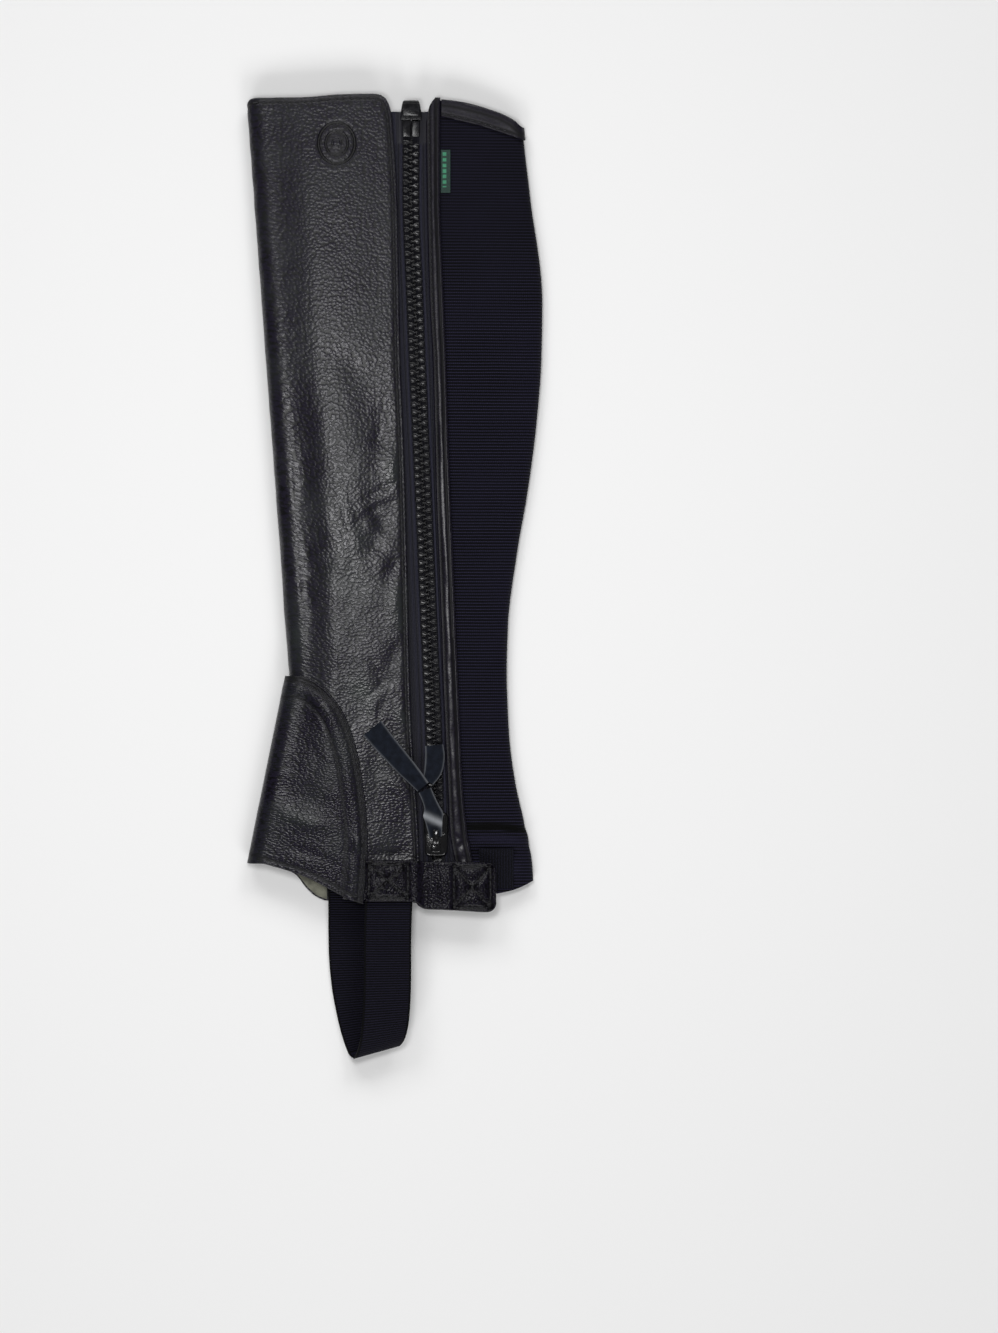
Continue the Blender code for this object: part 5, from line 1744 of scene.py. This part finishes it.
def make_elastic(look, leather):
    """The elastic panel with its label, and the leather binding over its top edge."""
    label = make_label(look)
    form, first, last = back_piece(
        (lowered(BINDING_TOP, 0.4), lowered(BINDING_LOW_INNER, GAP)), (HEM_OUTER, HEM_INNER), 0.0, 0.0,
        (34, 20, 230), (0.0, 0.5, 1.2))
    x, y, z = np.moveaxis(form, -1, 0)
    inner = station("back", y[:, :first]) - ELASTIC_UNDER
    edges = ((inner_seam_line() + (GAP, 0.0), INNER_SEAM_SEWN),)
    relief = two_sided(form, slice(last, None), elastic_relief, slice(first), edges, 27)
    relief[:, :first] *= np.clip((x[:, :first] - inner) / 0.5, 0.6, 1.0)
    ease_fold(relief, first, last)
    # Lower creases of the upper side: the mask for a painted highlight on their ridges and painted shade in
    # their troughs
    fold = creased(x, y, ELASTIC_CREASES[:4], 61) * (z > 5.0)
    mesh = shell("elastic", form, relief, ELASTIC, {"close": clamped((y - 120.0) / 70.0), "fold": fold})
    piece = shown("elastic_knit", mesh, ribbed_elastic_finish(look), ["elastic_panel"])
    declare(form)

    lift = THIN_LEATHER + GAP
    form, first, last = back_piece(
        (BINDING_TOP, INNER_TOP), (BINDING_LOW, BINDING_LOW_INNER), lift, 0.102, (36, 20, 12),
        (0.0, 0.3, 0.8, 1.6))
    x, y = form[..., 0], form[..., 1]
    edges = ((flowing(BINDING_LOW_INNER, 2.0), LOW_BINDING_SEWN),)
    relief = two_sided(form, slice(last, None), binding_relief, slice(first), edges, 28)
    seam = stitched(x, y, [
        (flowing(BINDING_LOW, 1.5), [LOW_BINDING_SEWN]),
        (flowing(BINDING_TOP, 1.5), [TOP_BINDING_SEWN]),
    ])
    # The seam mask paints shade into the stitch channels
    mesh = shell("binding", form, relief, THIN_LEATHER, {"seam": seam, "matt": 0.40})
    piece = shown("binding_leather", mesh, smooth_leather_finish(leather),
                  ["elastic_binding"])
    declare(form)


def make_label(look):
    """The small woven label at the seam, with one row of plain bars."""
    x0, x1, y0, y1 = LABEL_BOX
    share = np.linspace(0, 1, 14)
    x, y = np.meshgrid(x1 + (x0 - x1) * share, np.linspace(y1, y0, 76))
    form = np.stack([x, y, height(x, y) + GAP + LABEL], -1)
    inward = inside_box(x, y, LABEL_BOX)
    bars = np.sin((y - y1) * 2 * math.pi / 3.0) > -0.35
    stripe = ((x > x0 + 0.9) & (x < x0 + 2.7) & (y > y0 + 3.0) & (y < y1 - 1.2) & bars).astype(float)
    curl = 0.5 * clamped((x - x0 - 3.0) / 2.0) ** 2
    mesh = shell("label", form, rounded(inward, 0.25) + curl, LABEL, {"stripe": stripe})
    return shown("label_woven", mesh, green_label_finish(look), ["side_label"])


def strap_form():
    """Centre line of the stirrup with its crosswise direction, along its whole length."""
    rows = flowing(STIRRUP, 1.5)
    across = np.column_stack([np.full(len(rows), STIRRUP_WIDE), rows[:, 3], -rows[:, 4]])
    return rows[:, :3], across / np.linalg.norm(across, axis=1)[:, None]


def make_stirrup(look):
    """The loop of webbing that goes under the foot."""
    middle, across = strap_form()
    share = np.linspace(0.5, -0.5, 19)
    form = middle[:, None] + across[:, None] * (share * STIRRUP_WIDE)[None, :, None]
    run = run_along(middle)
    normals = outward(form)
    form = form + normals * 0.5 * WEBBING
    lie = np.stack([np.broadcast_to((0.5 - share) * STIRRUP_WIDE, form.shape[:2]),
                    np.broadcast_to(run[:, None], form.shape[:2]), np.zeros(form.shape[:2])], -1)
    relief = 0.05 * swell(lie[..., 0], lie[..., 1], 20.0, 14)
    relief -= 0.18 * clamped((np.abs(share) - 0.46) / 0.04)
    mesh = shell("stirrup", form, relief, WEBBING, {"lie": lie})
    piece = shown("stirrup_webbing", mesh, strap_elastic_finish(look), ["stirrup_strap"])
    declare(form)


def make_tab(look, zips):
    """The closing tab with its round-cornered end, its hook tape, and the patch that it closes on."""
    bend = TAB[-1, 0] - TAB_CORNER
    along = graded(bend - TAB[0, 0], 0.9, (0.0, 0.3, 0.8))
    corner = bend + TAB_CORNER * np.sin(np.linspace(0, 0.5 * math.pi, 9))
    xs = np.concatenate([TAB[0, 0] + along[:-1], corner])
    inset = np.where(xs > bend, TAB_CORNER - np.sqrt(np.maximum(TAB_CORNER ** 2 - (xs - bend) ** 2, 0)), 0)
    under, top, low = tab_ends(xs)
    share = np.concatenate([(0.0, 0.012, 0.03, 0.06), np.linspace(0.09, 0.91, 22), (0.94, 0.97, 0.988, 1.0)])
    y = (top - inset) + (low - top + 2 * inset) * share[:, None]
    x = np.broadcast_to(xs, y.shape)
    form = np.stack([x, y, height(x, y) + under + LEATHER], -1)[:, ::-1]
    x, y = form[..., 0], form[..., 1]
    lines = [(line, [0.0]) for box in TAB_SQUARES for line in square_lines(box)]
    # The seam mask paints shade into the stitch channels
    mesh = shell("tab", form, tab_relief(x, y), LEATHER, {"seam": stitched(x, y, lines)})
    piece = shown("tab_leather", mesh, dull_leather_finish(look), ["closing_tab"])
    declare(form)
    for name, node, box, lift, thick, rests in (
        ("hook_tape", "tab_hook_tape", HOOK_BOX, HOOK_LIFT, HOOK_THICK, "tab_leather"),
        ("loop_patch", "tab_loop_patch", PATCH_BOX, GAP + LOOP_THICK, LOOP_THICK, "elastic_knit"),
    ):
        x0, x1, y0, y1 = box
        x, y = np.meshgrid(np.linspace(x1, x0, 26), np.linspace(y1, y0, 26))
        form = np.stack([x, y, height(x, y) + lift], -1)
        inward = inside_box(x, y, box)
        pile = rounded(inward, 0.35) + 0.10 * swell(x * 3, y, 5.0, 15) * (inward > 0.6)
        mesh = shell(name, form, np.minimum(pile, 0.0) if node == "tab_hook_tape" else pile, thick)
        piece = shown(name, mesh, touch_tape_finish(zips), [node])
        declare(form)


def make_thong(look):
    """The three stretches of the thong, each a strip cupped along its middle."""
    half = np.array((0.5, 0.49, 0.46, 0.40, 0.3, 0.2, 0.1))
    share = np.concatenate([half, [0.0], -half[::-1]])
    for name, node, table, cup in (
        ("thong_tail_strip", "thong_tail", THONG_TAIL, 0.5),
        ("thong_end_strip", "thong_end", THONG_END, 0.4),
        ("thong_loop_strip", "thong_loop", THONG_LOOP, 0.3),
    ):
        rows = flowing(table, 0.8)
        line = rows[:, :2]
        along = np.gradient(line, axis=0)
        along /= np.linalg.norm(along, axis=1)[:, None]
        side = np.stack([-along[:, 1], along[:, 0]], 1)
        wide = rows[:, 3:4]
        x = rows[:, :1] + side[:, :1] * wide * share
        y = rows[:, 1:2] + side[:, 1:] * wide * share
        base = height(rows[:, 0], rows[:, 1])[:, None] + rows[:, 2:3] + rows[:, 4:5] * share
        form = np.stack([x, y, base + THONG_THICK], -1)
        run = run_along(line)[:, None]
        inward = (0.5 - np.abs(share)) * wide
        relief = rounded(inward, 0.4) + 0.12 * swell(run + 0 * share, share * 30, 8.0, 16)
        relief = relief - cup * (1 - 4 * share ** 2) * np.clip(1 - run / 40.0, 0.2, 1) * 0.5
        # Mask for highlights painted along the edges; the loop's fold is added to it below
        edge = bump(inward / 0.45)
        if node == "thong_loop":
            folded = bump((y + 128.6 + 0.45 * (x - 20.0)) / 2.0)
            edge, relief = np.maximum(edge, 2.4 * folded), relief + 0.5 * folded
        lie = np.stack([np.broadcast_to(share * wide, x.shape), np.broadcast_to(run, x.shape),
                        np.zeros(x.shape)], -1)
        mesh = shell(name, form, relief, THONG_THICK, {"lie": lie, "edge": edge})
        piece = shown(name, mesh, thong_finish(look), [node])
        flat, area = cut_size(form)
        wide_cut = max(flat[0], NARROWEST_CUT)
        max(area, 0.3 * wide_cut * flat[1])


def make_stitching(look):
    """The rows of stitches, one piece for each leather piece that they hold."""
    edge = edge_line()
    edge = edge[edge[:, 0] > -76.0]
    below = spaced(shifted(inner_seam_line(), -INNER_SEAM_SEWN), STITCH_STEP)
    shaft = [on_face(shaft_face, spaced(shifted(edge, -SHAFT_SEWN), STITCH_STEP)),
             on_face(under_face, below, under=True)]
    stitching("shaft_stitches", shaft, look)
    seam, hem = flowing(TOE_SEAM, 1.0), flowing(TOE_HEM, 1.0)
    seam = seam[seam[:, 0] > -49.5]
    hem = hem[hem[:, 0] > -69.0]
    toe = [on_face(toe_face, spaced(shifted(seam, -at)[6:-4], STITCH_STEP)) for at in TOE_SEWN]
    toe.append(on_face(toe_face, spaced(shifted(hem, -HEM_SEWN)[3:], STITCH_STEP)))
    below = spaced(shifted(seam, -UNDER_TOE_SEWN)[8:-6], STITCH_STEP)
    toe.append(on_face(under_face, below, under=True))
    stitching("toe_stitches", toe, look, 0.9)
    strip = [on_face(strip_face, line_down("strip", np.arange(246.0, -146.0, -1.0), LEFT_STRIP_SEWN))]
    low = flowing(BINDING_LOW, 1.0)
    low = low[(low[:, 0] > 24.5) & (low[:, 0] < 60.0)]
    strip.append(on_face(binding_face, spaced(shifted(low, LOW_BINDING_SEWN), STITCH_STEP)))
    stitching("strip_stitches", strip, look, 0.85)
    tab = [on_face(tab_face, spaced(line, STITCH_STEP)) for box in TAB_SQUARES for line in square_lines(box)]
    stitching("tab_stitches", tab, look, 0.8)


def make_floor(look):
    mesh = bpy.data.meshes.new("floor")
    corners = [(FLOOR_HALF * x, FLOOR_HALF * y, FLOOR_Z) for x, y in ((-1, -1), (1, -1), (1, 1), (-1, 1))]
    mesh.from_pydata(corners, [], [(0, 1, 2, 3)])
    floor = bpy.data.objects.new("floor", mesh)
    bpy.context.scene.collection.objects.link(floor)
    mesh.materials.append(floor_finish(look))


def make_camera_and_light(look):
    scene = bpy.context.scene
    lens = bpy.data.cameras.new("camera")
    lens.sensor_width = SENSOR
    lens.lens = SENSOR * (CAMERA[2] - MIDDLE_HEIGHT) / VIEW_LONG
    camera = bpy.data.objects.new("camera", lens)
    camera.location = CAMERA
    scene.collection.objects.link(camera)
    scene.camera = camera
    for name, place, size, power in (("softbox", SOFTBOX, SOFTBOX_SIZE, look.key), *(
            (f"side_light_{i}", place, SIDE_LIGHT_SIZE, look.side) for i, place in enumerate(SIDE_LIGHTS))):
        lamp = bpy.data.lights.new(name, "AREA")
        lamp.shape, lamp.energy = "RECTANGLE", power
        lamp.size, lamp.size_y = size
        light = bpy.data.objects.new(name, lamp)
        light.location = place
        light.rotation_mode = "QUATERNION"
        light.rotation_quaternion = Vector(place).to_track_quat("Z", "Y")
        scene.collection.objects.link(light)
    world = bpy.data.worlds.new("room")
    world.use_nodes = True
    room = world.node_tree.nodes["Background"]
    room.inputs["Color"].default_value = (1.0, 1.0, 1.0, 1.0)
    room.inputs["Strength"].default_value = look.sky
    scene.world = world
    scene.view_settings.view_transform = "Standard"


# Operators


class HALF_CHAP_OT_stage(bpy.types.Operator):
    """Adds the floor, the light and the camera"""

    bl_idname = "half_chap.stage"
    bl_label = "Stage"

    def execute(self, context):
        make_floor(context.scene.half_chap_stage)
        make_camera_and_light(context.scene.half_chap_stage)
        return {"FINISHED"}


class HALF_CHAP_OT_shaft(bpy.types.Operator):
    """Builds the leather shaft, folded round the front"""

    bl_idname = "half_chap.shaft"
    bl_label = "Shaft"

    def execute(self, context):
        make_shaft(context.scene.half_chap_leather)
        return {"FINISHED"}


class HALF_CHAP_OT_toe(bpy.types.Operator):
    """Builds the toe piece and its lining"""

    bl_idname = "half_chap.toe"
    bl_label = "Toe"

    def execute(self, context):
        make_toe(context.scene.half_chap_leather)
        return {"FINISHED"}


class HALF_CHAP_OT_zip(bpy.types.Operator):
    """Builds the zip's tapes, teeth, box and pin"""

    bl_idname = "half_chap.zip"
    bl_label = "Zip"

    def execute(self, context):
        make_tapes(context.scene.half_chap_zip)
        make_teeth(context.scene.half_chap_zip)
        make_zip_box(context.scene.half_chap_zip)
        return {"FINISHED"}


class HALF_CHAP_OT_slider(bpy.types.Operator):
    """Builds the zip's slider"""

    bl_idname = "half_chap.slider"
    bl_label = "Slider"

    def execute(self, context):
        make_slider(context.scene.half_chap_zip)
        return {"FINISHED"}


class HALF_CHAP_OT_strip(bpy.types.Operator):
    """Builds the narrow strip between the zip and the elastic"""

    bl_idname = "half_chap.strip"
    bl_label = "Strip"

    def execute(self, context):
        make_strip(context.scene.half_chap_leather)
        return {"FINISHED"}


class HALF_CHAP_OT_elastic(bpy.types.Operator):
    """Builds the ribbed elastic, its binding and its side label"""

    bl_idname = "half_chap.elastic"
    bl_label = "Elastic"

    def execute(self, context):
        scene = context.scene
        make_elastic(scene.half_chap_elastic, scene.half_chap_leather)
        return {"FINISHED"}


class HALF_CHAP_OT_stirrup(bpy.types.Operator):
    """Builds the elastic loop that goes under the foot"""

    bl_idname = "half_chap.stirrup"
    bl_label = "Stirrup"

    def execute(self, context):
        make_stirrup(context.scene.half_chap_elastic)
        return {"FINISHED"}


class HALF_CHAP_OT_tab(bpy.types.Operator):
    """Builds the closing tab and its touch tapes"""

    bl_idname = "half_chap.tab"
    bl_label = "Closing Tab"

    def execute(self, context):
        make_tab(context.scene.half_chap_leather, context.scene.half_chap_zip)
        return {"FINISHED"}


class HALF_CHAP_OT_thong(bpy.types.Operator):
    """Builds the thong tied on the slider"""

    bl_idname = "half_chap.thong"
    bl_label = "Thong"

    def execute(self, context):
        make_thong(context.scene.half_chap_leather)
        return {"FINISHED"}


class HALF_CHAP_OT_stitching(bpy.types.Operator):
    """Adds every row of stitches"""

    bl_idname = "half_chap.stitching"
    bl_label = "Stitching"

    def execute(self, context):
        make_stitching(context.scene.half_chap_stitches)
        return {"FINISHED"}


LOOKS = {
    "half_chap_leather": LeatherLook,
    "half_chap_elastic": ElasticLook,
    "half_chap_zip": ZipLook,
    "half_chap_stitches": StitchLook,
    "half_chap_stage": StageLook,
}
OPERATORS = (
    HALF_CHAP_OT_stage, HALF_CHAP_OT_shaft, HALF_CHAP_OT_toe, HALF_CHAP_OT_zip, HALF_CHAP_OT_slider,
    HALF_CHAP_OT_strip, HALF_CHAP_OT_elastic, HALF_CHAP_OT_stirrup, HALF_CHAP_OT_tab, HALF_CHAP_OT_thong,
    HALF_CHAP_OT_stitching,
)


class HALF_CHAP_PT_build(bpy.types.Panel):
    """Settings and builders of the half chap"""

    bl_label = "Half Chap"
    bl_idname = "HALF_CHAP_PT_build"
    bl_space_type = "VIEW_3D"
    bl_region_type = "UI"
    bl_category = "Half Chap"

    def draw(self, context):
        for name, kind in LOOKS.items():
            box = self.layout.box()
            box.label(text=kind.__doc__)
            for setting in kind.__annotations__:
                box.prop(getattr(context.scene, name), setting)
        for operator in OPERATORS:
            self.layout.operator(operator.bl_idname)


CLASSES = (*LOOKS.values(), *OPERATORS, HALF_CHAP_PT_build)


def register():
    for kind in CLASSES:
        bpy.utils.register_class(kind)
    for name, kind in LOOKS.items():
        setattr(bpy.types.Scene, name, PointerProperty(type=kind))


def unregister():
    for name in LOOKS:
        delattr(bpy.types.Scene, name)
    for kind in reversed(CLASSES):
        bpy.utils.unregister_class(kind)


def main():
    register()
    for operator in OPERATORS:
        group, name = operator.bl_idname.split(".")
        getattr(getattr(bpy.ops, group), name)()


if __name__ == "__main__":
    main()
